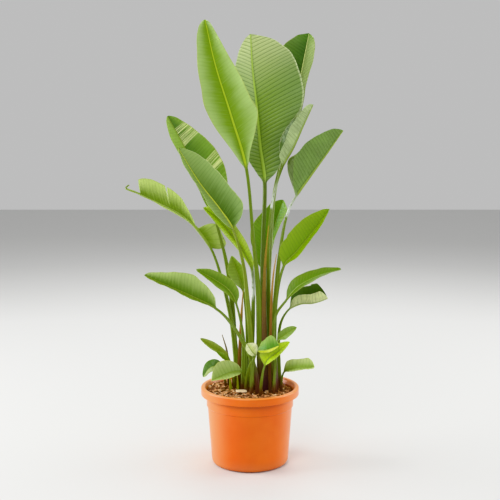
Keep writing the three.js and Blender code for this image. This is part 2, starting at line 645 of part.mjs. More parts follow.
function soilBody() {
  const wallAt = (z) => {
    const rise = (z - BASE_ROUNDING) / (COLLAR_BOTTOM - 4 - BASE_ROUNDING);
    return THREE.MathUtils.lerp(BODY_BOTTOM_RADIUS, BODY_TOP_RADIUS, rise) - WALL - CLEARANCE;
  };
  const floor = WALL + CLEARANCE;
  const shoulder = COLLAR_BOTTOM - 4;
  const topRadius = COLLAR_RADIUS - 1 - WALL - 1.3 * CLEARANCE;
  const levels = [
    [BODY_BOTTOM_RADIUS - BASE_ROUNDING - CLEARANCE, floor],
    [wallAt(BASE_ROUNDING), BASE_ROUNDING + CLEARANCE],
    [wallAt(shoulder), shoulder],
    [topRadius, COLLAR_BOTTOM + CLEARANCE],
  ];
  const positions = [0, 0, floor];
  const addRing = (radius, heightAt) => {
    for (let k = 0; k < POT_SIDES; k += 1) {
      const angle = (2 * Math.PI * k) / POT_SIDES;
      const x = radius * Math.sin(angle);
      const y = -radius * Math.cos(angle);
      positions.push(x, y, heightAt(x, y));
    }
  };
  levels.forEach(([radius, height]) => addRing(radius, () => height));
  for (let ring = SOIL_RINGS; ring >= 1; ring -= 1) {
    addRing((topRadius * ring) / SOIL_RINGS, soilHeight);
  }
  positions.push(0, 0, soilHeight(0, 0));
  const rings = levels.length + SOIL_RINGS;
  const apex = 1 + rings * POT_SIDES;
  const faces = [];
  for (let k = 0; k < POT_SIDES; k += 1) {
    const next = (k + 1) % POT_SIDES;
    faces.push(0, 1 + next, 1 + k);
    for (let ring = 0; ring < rings - 1; ring += 1) {
      const low = 1 + ring * POT_SIDES;
      const high = low + POT_SIDES;
      faces.push(low + k, low + next, high + next, low + k, high + next, high + k);
    }
    const top = 1 + (rings - 1) * POT_SIDES;
    faces.push(top + k, top + next, apex);
  }
  const geometry = new THREE.BufferGeometry();
  geometry.setAttribute("position", new THREE.Float32BufferAttribute(positions, 3));
  geometry.setIndex(faces);
  return toSolid(geometry);
}

function barkChip(random) {
  const chip = new THREE.CylinderGeometry(0.5, 0.62, 1, 5);
  const length = BARK_SIZE * (0.7 + 0.9 * random());
  chip.scale(length, 4 + 3 * random(), length * (0.45 + 0.3 * random()));
  chip.rotateX(Math.PI / 2);
  chip.rotateX(0.5 * (random() - 0.5));
  chip.rotateZ(2 * Math.PI * random());
  const distance = 108 * Math.sqrt(random());
  const angle = 2 * Math.PI * random();
  const x = distance * Math.cos(angle);
  const y = distance * Math.sin(angle);
  chip.translate(x, y, soilHeight(x, y) + 1);
  return toSolid(chip);
}

function chipGeometry(spread) {
  const chip = new THREE.BoxGeometry(CHIP.length + spread, CHIP.width + spread, CHIP.thickness + spread);
  const [x, y] = CHIP.at;
  chip.rotateY(-SOIL_SLOPE_X);
  chip.rotateZ(CHIP.turn);
  chip.translate(x, y, soilHeight(x, y) + CHIP.thickness / 2 - 1);
  return chip;
}

function makeSoil(sockets) {
  let solid = soilBody();
  const random = randomStream(BARK_SEED);
  for (let i = 0; i < BARK_CHIPS; i += 1) solid = solid.add(barkChip(random));
  for (const socket of sockets) solid = solid.subtract(socket);
  solid = solid.subtract(toSolid(chipGeometry(2 * CLEARANCE)));
  const bodies = solid.decompose().sort((a, b) => b.volume() - a.volume());
  return makeMesh("potting_mix", toGeometry(bodies[0]), 0x5f4330, 0.95);
}

const plant = new THREE.Group();
const sockets = [];

for (const leaf of LEAVES) {
  plant.add(makeMesh(leaf.name, leafGeometry(leaf), GREEN[leaf.colour], 0.5));
  const firstStep = 1 / (leaf.path.length - 1);
  sockets.push(socketFor(smoothCurve(leaf.path), firstStep, leaf.stalk[0], STALK_FLATNESS));
}
for (const spear of SPEARS) {
  plant.add(makeMesh(spear.name, skinGeometry(spearSections(spear)), spear.colour, 0.8));
  const firstStep = 0.5 / (spear.path.length - 1);
  const widest = Math.max(spear.radii[0], spear.radii[1]);
  sockets.push(socketFor(smoothCurve(spear.path), firstStep, widest, spear.flatness));
}

const filling = new THREE.Group();
filling.add(makeSoil(sockets));
filling.add(makeMesh(CHIP.name, chipGeometry(0), 0xd8c39a, 0.85));

const pottedPlant = new THREE.Group();
pottedPlant.add(makePot(), filling, plant);

export default pottedPlant;
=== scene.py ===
"""The looks of a potted bird of paradise, in metres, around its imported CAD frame.

Each leaf is one closed numpy skin from its foot to its tip, with a grooved stalk, a keeled midrib and
two halves whose surface is pleated along the side veins.
"""

import logging
import math
from dataclasses import dataclass, field, replace
from enum import Enum

import bpy
import numpy as np
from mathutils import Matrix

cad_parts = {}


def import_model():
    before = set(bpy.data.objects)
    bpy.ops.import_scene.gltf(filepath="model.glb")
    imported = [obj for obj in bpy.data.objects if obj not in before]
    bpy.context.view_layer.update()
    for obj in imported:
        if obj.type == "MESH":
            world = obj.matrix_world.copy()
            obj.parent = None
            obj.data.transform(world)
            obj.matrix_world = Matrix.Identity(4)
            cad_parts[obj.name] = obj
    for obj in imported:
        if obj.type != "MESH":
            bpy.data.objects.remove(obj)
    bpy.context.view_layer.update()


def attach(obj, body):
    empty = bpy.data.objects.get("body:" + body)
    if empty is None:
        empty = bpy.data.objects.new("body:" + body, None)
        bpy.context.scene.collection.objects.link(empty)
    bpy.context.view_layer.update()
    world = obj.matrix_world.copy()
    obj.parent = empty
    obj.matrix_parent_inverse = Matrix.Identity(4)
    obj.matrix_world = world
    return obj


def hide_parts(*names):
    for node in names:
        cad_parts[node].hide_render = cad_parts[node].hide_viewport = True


LOG = logging.getLogger("bird_of_paradise")
MM = 0.001

Colour = tuple[float, float, float]
Point = tuple[float, float, float]
Marks = dict[str, np.ndarray]

TO_VIEWER = np.array([0.0, -1.0, 0.0])

SOIL_LEVEL = 0.228
SOIL_SLOPE_X = -0.03
SOIL_SLOPE_Y = -0.02
SOIL_LUMPS = 0.0022


def shade(red: int, green: int, blue: int) -> Colour:
    """Turns a display colour into a linear one.

    Args:
        red: Red from 0 to 255.
        green: Green from 0 to 255.
        blue: Blue from 0 to 255.

    Returns:
        The three linear parts.
    """
    parts = (red / 255, green / 255, blue / 255)
    return tuple(p / 12.92 if p <= 0.04045 else ((p + 0.055) / 1.055) ** 2.4 for p in parts)


def soft_step(value: np.ndarray, low: float, high: float) -> np.ndarray:
    """A soft step.

    With s the share of the way from low to high, held between 0 and 1, it is 3 s squared less 2 s cubed.

    Args:
        value: Where the step is read.
        low: Where it leaves 0.
        high: Where it reaches 1.

    Returns:
        The step's height at each value.
    """
    s = np.clip((value - low) / (high - low), 0, 1)
    return s * s * (3 - 2 * s)


def unit(vectors: np.ndarray) -> np.ndarray:
    """The same directions with length 1."""
    return vectors / np.linalg.norm(vectors, axis=-1, keepdims=True)


def spline(points: np.ndarray, t: np.ndarray) -> tuple[np.ndarray, np.ndarray]:
    """A smooth curve through evenly timed points.

    Each stretch is the cubic whose slope at a point is half the step between that point's neighbours. The
    end points' missing neighbours are mirror images.

    Args:
        points: The points, one row each.
        t: Times from 0 at the first point to 1 at the last.

    Returns:
        The places and the slopes at those times.
    """
    last = len(points) - 1
    padded = np.vstack([2 * points[0] - points[1], points, 2 * points[-1] - points[-2]])
    place = np.clip(t, 0, 1) * last
    index = np.minimum(place.astype(int), last - 1)
    u = (place - index)[:, None]
    before, start, end, after = (padded[index + k] for k in range(4))
    slope_in = (end - before) / 2
    slope_out = (after - start) / 2
    cubic = 2 * start - 2 * end + slope_in + slope_out
    square = 3 * (end - start) - 2 * slope_in - slope_out
    value = ((cubic * u + square) * u + slope_in) * u + start
    return value, (3 * cubic * u + 2 * square) * u + slope_in


def run_of(values: tuple[float, ...], t: np.ndarray) -> np.ndarray:
    """Evenly spaced numbers, read smoothly at times from 0 to 1."""
    return spline(np.array(values, float)[:, None], t)[0][:, 0]


def length_along(points: np.ndarray) -> np.ndarray:
    """The distance from the first point to each point, step by step."""
    steps = np.linalg.norm(np.diff(points, axis=0), axis=1)
    return np.concatenate([[0.0], np.cumsum(steps)])


def soil_height(x: np.ndarray, y: np.ndarray) -> np.ndarray:
    """The mix's surface: a gentle slope plus low lumps, which are sines of x, of y and of x plus y.

    Args:
        x: Places from left to right, in metres.
        y: Places from front to back, in metres.

    Returns:
        Heights in metres.
    """
    lumps = np.sin(x / 0.011 + 1) * np.cos(y / 0.013) + 0.6 * np.sin((x + y) / 0.007)
    return SOIL_LEVEL + SOIL_SLOPE_X * x + SOIL_SLOPE_Y * y + SOIL_LUMPS * lumps


def skin(rings: np.ndarray) -> tuple[np.ndarray, list[list[int]]]:
    """Closes a run of rings into one skin, with a fan of triangles on each end.

    A ring runs so that it turns about the way to the next ring by the right hand, which makes every face
    point outwards.

    Args:
        rings: Points by ring, place in the ring and coordinate.

    Returns:
        The vertices, which are the rings' points and then the two end points, and the faces.
    """
    rows, around, _ = rings.shape
    here = np.arange(rows * around).reshape(rows, around)
    beside = np.roll(here, -1, axis=1)
    walls = np.stack([here[:-1], beside[:-1], beside[1:], here[1:]], -1).reshape(-1, 4)
    foot = np.full(around, rows * around)
    first = np.stack([foot, beside[0], here[0]], -1)
    final = np.stack([foot + 1, here[-1], beside[-1]], -1)
    vertices = np.vstack([rings.reshape(-1, 3), rings[0].mean(0), rings[-1].mean(0)])
    return vertices, walls.tolist() + first.tolist() + final.tolist()


def skin_marks(values: np.ndarray) -> np.ndarray:
    """Values by ring and place, laid out like the vertices of skin()."""
    flat = values.reshape(-1, values.shape[-1])
    return np.vstack([flat, values[0].mean(0), values[-1].mean(0)])


def make_piece(
    name: str,
    vertices: np.ndarray,
    faces: list[list[int]],
    material: bpy.types.Material,
    nodes: tuple[str, ...] = (),
    marks: Marks | None = None,
    smooth: bool = True,
) -> bpy.types.Object:
    """Puts a mesh in the scene as a piece of the plant that rides on its one body.

    Args:
        name: The piece's name.
        vertices: Its points in metres.
        faces: Its faces as lists of point numbers.
        material: Its finish.
        nodes: The CAD nodes that it stands for.
        marks: Vectors kept on the points, by attribute name, for the material to read.
        smooth: Whether its faces are shaded smoothly.

    Returns:
        The new object.
    """
    mesh = bpy.data.meshes.new(name)
    mesh.from_pydata(vertices.tolist(), [], faces)
    for label, values in (marks or {}).items():
        mark = mesh.attributes.new(label, "FLOAT_VECTOR", "POINT")
        mark.data.foreach_set("vector", values.astype(np.float32).ravel())
    mesh.polygons.foreach_set("use_smooth", np.full(len(mesh.polygons), smooth))
    mesh.materials.append(material)
    mesh.update()
    piece = bpy.data.objects.new(name, mesh)
    bpy.context.scene.collection.objects.link(piece)
    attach(piece, "root")
    if nodes:
        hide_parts(*nodes)
    LOG.info("%s: %d faces", name, len(mesh.polygons))
    return piece


class Wire:
    """An output of a shader node that can be used in sums."""

    def __init__(self, board: "Board", socket: bpy.types.NodeSocket) -> None:
        """Keeps the socket and the board that it is on."""
        self.board = board
        self.socket = socket

    def __add__(self, other: "Wire | float") -> "Wire":
        """This plus other."""
        return self.board.math("ADD", self, other)

    def __radd__(self, other: "Wire | float") -> "Wire":
        """Other plus this."""
        return self.board.math("ADD", other, self)

    def __sub__(self, other: "Wire | float") -> "Wire":
        """This less other."""
        return self.board.math("SUBTRACT", self, other)

    def __rsub__(self, other: "Wire | float") -> "Wire":
        """Other less this."""
        return self.board.math("SUBTRACT", other, self)

    def __mul__(self, other: "Wire | float") -> "Wire":
        """This times other."""
        return self.board.math("MULTIPLY", self, other)

    def __rmul__(self, other: "Wire | float") -> "Wire":
        """Other times this."""
        return self.board.math("MULTIPLY", other, self)

    def __abs__(self) -> "Wire":
        """This without its sign."""
        return self.board.math("ABSOLUTE", self)


class Board:
    """The node tree of one material."""

    def __init__(self, name: str) -> None:
        """Makes an empty material.

        Args:
            name: The material's name.
        """
        self.material = bpy.data.materials.new(name)
        self.material.use_nodes = True
        self.tree = self.material.node_tree
        self.tree.nodes.clear()

    def node(self, kind: str, settings: dict | None = None, inputs: dict | None = None) -> bpy.types.Node:
        """Adds a node.

        Args:
            kind: Its type, such as ShaderNodeMath.
            settings: Its own settings, set first. stops holds a ramp's places and colours.
            inputs: Values or wires by socket name or number.

        Returns:
            The new node.
        """
        made = self.tree.nodes.new(kind)
        for key, value in (settings or {}).items():
            if key == "stops":
                ramp = made.color_ramp
                while len(ramp.elements) < len(value):
                    ramp.elements.new(1.0)
                for element, (place, colour) in zip(ramp.elements, value):
                    element.position = place
                    element.color = (*colour, 1.0)
            else:
                setattr(made, key, value)
        for key, value in (inputs or {}).items():
            socket = made.inputs[key]
            if isinstance(value, Wire):
                self.tree.links.new(value.socket, socket)
            elif isinstance(value, tuple) and len(value) == 3 and socket.type == "RGBA":
                socket.default_value = (*value, 1.0)
            else:
                socket.default_value = value
        return made

    def out(self, node: bpy.types.Node, output: str | int = 0) -> Wire:
        """One of a node's outputs."""
        return Wire(self, node.outputs[output])

    def math(self, operation: str, *values: Wire | float) -> Wire:
        """A Math node on one to three values."""
        inputs = dict(enumerate(values))
        return self.out(self.node("ShaderNodeMath", {"operation": operation}, inputs))

    def mix(self, factor: Wire | float, first: Wire | Colour, second: Wire | Colour,
            blend: str = "MIX") -> Wire:
        """Mixes two colours.

        Args:
            factor: How much of the second shows.
            first: The colour at 0.
            second: The colour at 1.
            blend: The way that they mix.

        Returns:
            The mixed colour.
        """
        settings = {"data_type": "RGBA", "blend_type": blend, "clamp_factor": True}
        return self.out(self.node("ShaderNodeMix", settings, {0: factor, 6: first, 7: second}), 2)

    def step(self, value: Wire, low: float, high: float) -> Wire:
        """A soft step from 0 at low to 1 at high."""
        settings = {"interpolation_type": "SMOOTHSTEP"}
        return self.out(self.node("ShaderNodeMapRange", settings, {0: value, 1: low, 2: high}))

    def ramp(self, value: Wire, stops: list[tuple[float, Colour]]) -> Wire:
        """Colours at places from 0 to 1."""
        return self.out(self.node("ShaderNodeValToRGB", {"stops": stops}, {0: value}))

    def noise(self, place: Wire, scale: float, detail: float = 2.0) -> Wire:
        """Soft noise about 0.5."""
        inputs = {"Vector": place, "Scale": scale, "Detail": detail, "Roughness": 0.55}
        return self.out(self.node("ShaderNodeTexNoise", None, inputs))

    def place(self, x: Wire | float, y: Wire | float, z: Wire | float) -> Wire:
        """A vector of three values."""
        return self.out(self.node("ShaderNodeCombineXYZ", None, {0: x, 1: y, 2: z}))

    def parts(self, vector: Wire) -> tuple[Wire, Wire, Wire]:
        """The three values of a vector."""
        node = self.node("ShaderNodeSeparateXYZ", None, {0: vector})
        return self.out(node, 0), self.out(node, 1), self.out(node, 2)

    def mark(self, name: str) -> tuple[Wire, Wire, Wire]:
        """The three values of an attribute of the mesh."""
        node = self.node("ShaderNodeAttribute", {"attribute_name": name})
        return self.parts(self.out(node, "Vector"))

    def object_place(self) -> Wire:
        """Places on the piece, in metres."""
        return self.out(self.node("ShaderNodeTexCoord"), "Object")

    def bump(self, height: Wire, distance: float) -> Wire:
        """A surface raised by height times distance, in metres."""
        inputs = {"Height": height, "Distance": distance, "Strength": 1.0}
        return self.out(self.node("ShaderNodeBump", None, inputs))

    def surface(self, inputs: dict) -> bpy.types.Material:
        """Ends the board with a Principled surface.

        Args:
            inputs: Values or wires by the shader's socket names.

        Returns:
            The finished material.
        """
        shader = self.node("ShaderNodeBsdfPrincipled", None, inputs)
        self.node("ShaderNodeOutputMaterial", None, {"Surface": self.out(shader)})
        return self.material


class Tone(Enum):
    """The record's material slots for leaves."""

    BRIGHT = "leaf_bright"
    FRESH = "leaf_fresh"
    DEEP = "leaf_deep"
    PALE = "leaf_pale"


class LeafWires:
    """What a leaf's finish reads at each point, and the noises that it draws from."""

    LANE_OF_RIGHT_HALF = 3.7
    FINE_GRID = (4.4, 1.4)
    MOTTLE_SCALE = 22.0
    GRAIN_GRID = (60, 5)

    def __init__(self, board: Board, seed: float) -> None:
        """Reads the leaf's marks.

        Args:
            board: The finish's board.
            seed: A number that moves the noise.
        """
        self.board = board
        self.across, self.vein, self.upper = board.mark("leaf_place")
        self.blade, self.rise, self.off_rib = board.mark("leaf_parts")
        self.out = abs(self.across)
        self.right = board.math("GREATER_THAN", self.across, 0.0)
        self.lane = seed + self.LANE_OF_RIGHT_HALF * self.right
        self.fine = self.lines(self.FINE_GRID, 0.0, 3.0)
        self.mottle = board.noise(board.object_place(), self.MOTTLE_SCALE, 3.0)
        up, round_stalk = self.GRAIN_GRID
        spot = board.place(self.rise * up, self.across * round_stalk, seed + 5.0)
        self.grain = board.noise(spot, 1.0, 4.0)

    def lines(self, grid: tuple[float, float], shift: float, detail: float) -> Wire:
        """Noise stretched along the side veins: the grid holds its cells per vein and per half width."""
        spot = self.board.place(self.vein * grid[0], self.out * grid[1], self.lane + shift)
        return self.board.noise(spot, 1.0, detail)


@dataclass(frozen=True)
class LeafFinish:
    """The colours of one leaf with its painted sheen, highlights and shade, and how strongly its veins show.
    Heights are in metres above the mix, and a pale stalk patch at 9 m stands for none.
    """

    BROAD_GRID = (0.7, 0.9)
    UNEVEN = 0.3
    # How far the colours of whole halves and the painted top highlight cover the colour below.
    TINT = 0.85
    STREAK_BAND = (0.5, 0.75)
    BAR_GRID = (6.5, 0.4)
    BAR_BAND = (0.44, 0.54)
    BAR_END = 0.3
    BAR = shade(214, 222, 152)
    MARGIN_BAND = (0.955, 0.99)
    # Painted shade in the valleys between the pleats.
    VALLEY_BAND = (0.45, 1.0)
    VALLEY_SHADE = (0.38, 0.5, 0.28)
    # Painted shade along both sides of the midrib.
    RIB_SHADE_INNER = (0.42, 0.5)
    RIB_SHADE_OUTER = (0.85, 0.6)
    RIB_SHADE_DEPTH = 0.45
    RIB_SHADE = (0.45, 0.55, 0.3)
    MIDRIB_BAND = (0.5, 0.4)
    MIDRIB_COVER = 0.9
    # The pale stalk patch: partly waxy bloom and film, partly a painted highlight.
    BLOOM_AND_HIGHLIGHT = shade(206, 212, 203)
    BLOOM_AND_HIGHLIGHT_FADE = 0.1
    FOOT_LIGHT = shade(120, 78, 58)
    FOOT_RAGGEDNESS = 0.06
    FOOT_BAND = (0.4, 1.5)
    RIDGES_PER_VEIN = 8
    RELIEF = 0.0002

    inner: Colour
    # The colour at the edge: partly the leaf's paler edge, partly a painted sheen.
    edge_and_sheen: Colour
    under: Colour
    midrib: Colour = shade(150, 172, 72)
    # The margin's colour: partly its own, partly a painted sheen.
    margin_and_sheen: Colour = shade(176, 186, 92)
    stalk: Colour = shade(104, 128, 34)
    foot: Colour = shade(62, 36, 22)
    foot_height: float = 0.03
    streaks: float = 0.30
    # How strongly painted shade darkens the valleys between the pleats.
    valley_shade: float = 0.3
    stripes: tuple[tuple[float, float], ...] = ()
    # A painted highlight high on the leaf, with the heights in metres where it begins and is full.
    top_highlight: Colour | None = None
    top_highlight_rise: tuple[float, float] = (0.6, 1.0)
    # Colours over a whole half: mostly painted light and shade on a half that faces towards or away from the
    # lamps, on a few leaves the half's own colour.
    left: Colour | None = None
    right: Colour | None = None
    # Heights between which the stalk has a pale patch, partly waxy bloom and film, partly a painted
    # highlight.
    bloom_and_highlight: tuple[float, float] = (9.0, 9.1)
    roughness: float = 0.4

    def upper_side(self, board: Board, at: LeafWires) -> Wire:
        """The upper side's colour.

        It runs unevenly from the inner colour at the midrib to the edge colour, partly the leaf's paler edge
        and partly a painted sheen. Over it come colours of whole halves, mostly painted light and shade, a
        painted highlight high on the leaf, streaks and bars along the veins, and the margin's colour, partly
        its own and partly a painted sheen.

        Args:
            board: The finish's board.
            at: What it reads.

        Returns:
            The colour.
        """
        broad = at.lines(self.BROAD_GRID, 11.0, 2.0)
        place = at.out + (broad - 0.5) * self.UNEVEN + (at.mottle - 0.5) * self.UNEVEN
        # From the midrib's colour to the edge colour, which is partly a painted sheen.
        top = board.mix(board.step(place, 0.08, 1.0), self.inner, self.edge_and_sheen)
        # Colours of whole halves, mostly painted light and shade.
        if self.left is not None:
            top = board.mix((1.0 - at.right) * self.TINT, top, self.left)
        if self.right is not None:
            top = board.mix(at.right * self.TINT, top, self.right)
        top = board.mix(board.step(at.fine, *self.STREAK_BAND) * self.streaks, top, self.edge_and_sheen)
        # A painted highlight high on the leaf.
        if self.top_highlight is not None:
            top = board.mix(board.step(at.rise, *self.top_highlight_rise) * self.TINT, top, self.top_highlight)
        bars = board.step(at.lines(self.BAR_GRID, 23.0, 1.0), *self.BAR_BAND)
        for first, last in self.stripes:
            start, end = first + self.BAR_END, last - self.BAR_END
            zone = board.step(at.vein, first, start) * board.step(at.vein, last, end)
            top = board.mix(bars * zone * at.right * 0.9, top, self.BAR)
        # The margin: partly its own colour, partly a painted sheen.
        return board.mix(board.step(at.out, *self.MARGIN_BAND) * 0.6, top, self.margin_and_sheen)

    def underside(self, board: Board, at: LeafWires) -> Wire:
        """The underside's colour, with lines of the outer colour and patches of the inner one."""
        lined = board.mix(board.step(at.fine, 0.4, 0.7) * 0.35, self.under, self.edge_and_sheen)
        return board.mix(board.step(at.mottle, 0.3, 0.7) * 0.3, lined, self.inner)

    def veined(self, board: Board, at: LeafWires, colour: Wire) -> Wire:
        """Paints shade into the valleys between the pleats and along both sides of the midrib, and paints the
        midrib.

        Args:
            board: The finish's board.
            at: What it reads.
            colour: The colour before that.

        Returns:
            The colour after it.
        """
        # Painted shade in the valleys between the pleats.
        valley = board.step(1.0 - abs(board.math("SINE", at.vein * math.pi)), *self.VALLEY_BAND)
        colour = board.mix(valley * self.valley_shade, colour, self.VALLEY_SHADE, "MULTIPLY")
        # Painted shade along both sides of the midrib.
        rib_shade = board.step(at.off_rib, *self.RIB_SHADE_INNER) * board.step(at.off_rib, *self.RIB_SHADE_OUTER)
        colour = board.mix(rib_shade * self.RIB_SHADE_DEPTH, colour, self.RIB_SHADE, "MULTIPLY")
        on_rib = board.step(at.off_rib, *self.MIDRIB_BAND)
        return board.mix(on_rib * self.MIDRIB_COVER, colour, self.midrib)

    def stalk_colour(self, board: Board, at: LeafWires) -> Wire:
        """The stalk's colour: fine grains, a pale patch over a stretch of heights, and a brown foot.

        The pale patch is partly waxy bloom and film and partly a painted highlight.

        Args:
            board: The finish's board.
            at: What it reads.

        Returns:
            The colour.
        """
        stalk = board.mix(at.grain * 0.3, self.stalk, self.midrib)
        # A pale patch between two heights, partly waxy bloom and film, partly a painted highlight.
        low, high = self.bloom_and_highlight
        pale = board.step(at.rise, low, high) * board.step(at.rise, high + self.BLOOM_AND_HIGHLIGHT_FADE, high)
        stalk = board.mix(pale * board.step(at.grain, 0.3, 0.5), stalk, self.BLOOM_AND_HIGHLIGHT)
        ragged = at.rise + (at.grain - 0.5) * self.FOOT_RAGGEDNESS
        above = board.step(ragged, *(self.foot_height * share for share in self.FOOT_BAND))
        return board.mix(above, board.mix(at.grain, self.foot, self.FOOT_LIGHT), stalk)

    def dress(self, name: str, seed: float) -> bpy.types.Material:
        """Makes the leaf's material, with fine ridges along the side veins.

        Args:
            name: The material's name.
            seed: A number that moves the noise.

        Returns:
            The material.
        """
        board = Board(name)
        at = LeafWires(board, seed)
        sides = board.mix(at.upper, self.underside(board, at), self.upper_side(board, at))
        colour = board.mix(at.blade, self.stalk_colour(board, at), self.veined(board, at, sides))
        ridges = board.math("SINE", at.vein * (self.RIDGES_PER_VEIN * math.pi)) * at.blade
        relief = board.bump(ridges * 0.5 + at.fine * 0.7 + at.grain * 0.6, self.RELIEF)
        rough = self.roughness + (at.fine - 0.5) * 0.16 + (1.0 - at.upper) * at.blade * 0.14
        return board.surface({
            "Base Color": colour, "Roughness": rough, "Normal": relief,
            "Specular IOR Level": 0.5, "Coat Weight": 0.1, "Coat Roughness": 0.25,
        })


PURPLE = shade(78, 54, 52)
BRIGHT = LeafFinish(inner=shade(114, 153, 6), edge_and_sheen=shade(150, 180, 70), under=shade(160, 180, 96))
FRESH = LeafFinish(inner=shade(96, 136, 8), edge_and_sheen=shade(136, 166, 62), under=shade(150, 172, 96))
DEEP = LeafFinish(inner=shade(50, 92, 16), edge_and_sheen=shade(88, 126, 40), under=shade(124, 150, 76))
PALE = LeafFinish(inner=shade(110, 142, 44), edge_and_sheen=shade(140, 168, 82), under=shade(170, 190, 122))


@dataclass(frozen=True)
class Tear:
    """A split that runs in from the edge along a vein: where, how deep and how wide, as shares."""

    at: float
    depth: float
    gape: float


@dataclass
class Half:
    """One half of a blade, by section and by place from the midrib to the edge.

    Lengths are in millimetres, bend is an angle, share is x over the half width, and veins counts the
    side veins from the neck.
    """

    hand: int
    x: np.ndarray
    share: np.ndarray
    bend: np.ndarray
    over: np.ndarray
    height: np.ndarray
    forward: np.ndarray
    veins: np.ndarray


@dataclass
class Frame:
    """Sections along a path: their middles and the ways that they face."""

    points: np.ndarray
    tangent: np.ndarray
    side: np.ndarray
    up: np.ndarray

    @classmethod
    def along(cls, path: list[Point], t: np.ndarray, facing: np.ndarray) -> "Frame":
        """Sets up sections on a path.

        Args:
            path: The path's points.
            t: The sections' times.
            facing: The way that each section's upper side looks.

        Returns:
            The frame.
        """
        points, slopes = spline(np.array(path, float), t)
        tangent = unit(slopes)
        side = unit(np.cross(tangent, facing))
        return cls(points, tangent, side, np.cross(side, tangent))

    def place(self, sideways: np.ndarray, level: np.ndarray, forward: np.ndarray | None = None) -> np.ndarray:
        """Points at distances from the sections' middles.

        Args:
            sideways: Distances to the side.
            level: Distances upwards.
            forward: Distances along the path, if any.

        Returns:
            The points.
        """
        spot = (self.points[:, None] + self.side[:, None] * sideways[..., None]
                + self.up[:, None] * level[..., None])
        return spot if forward is None else spot + self.tangent[:, None] * forward[..., None]


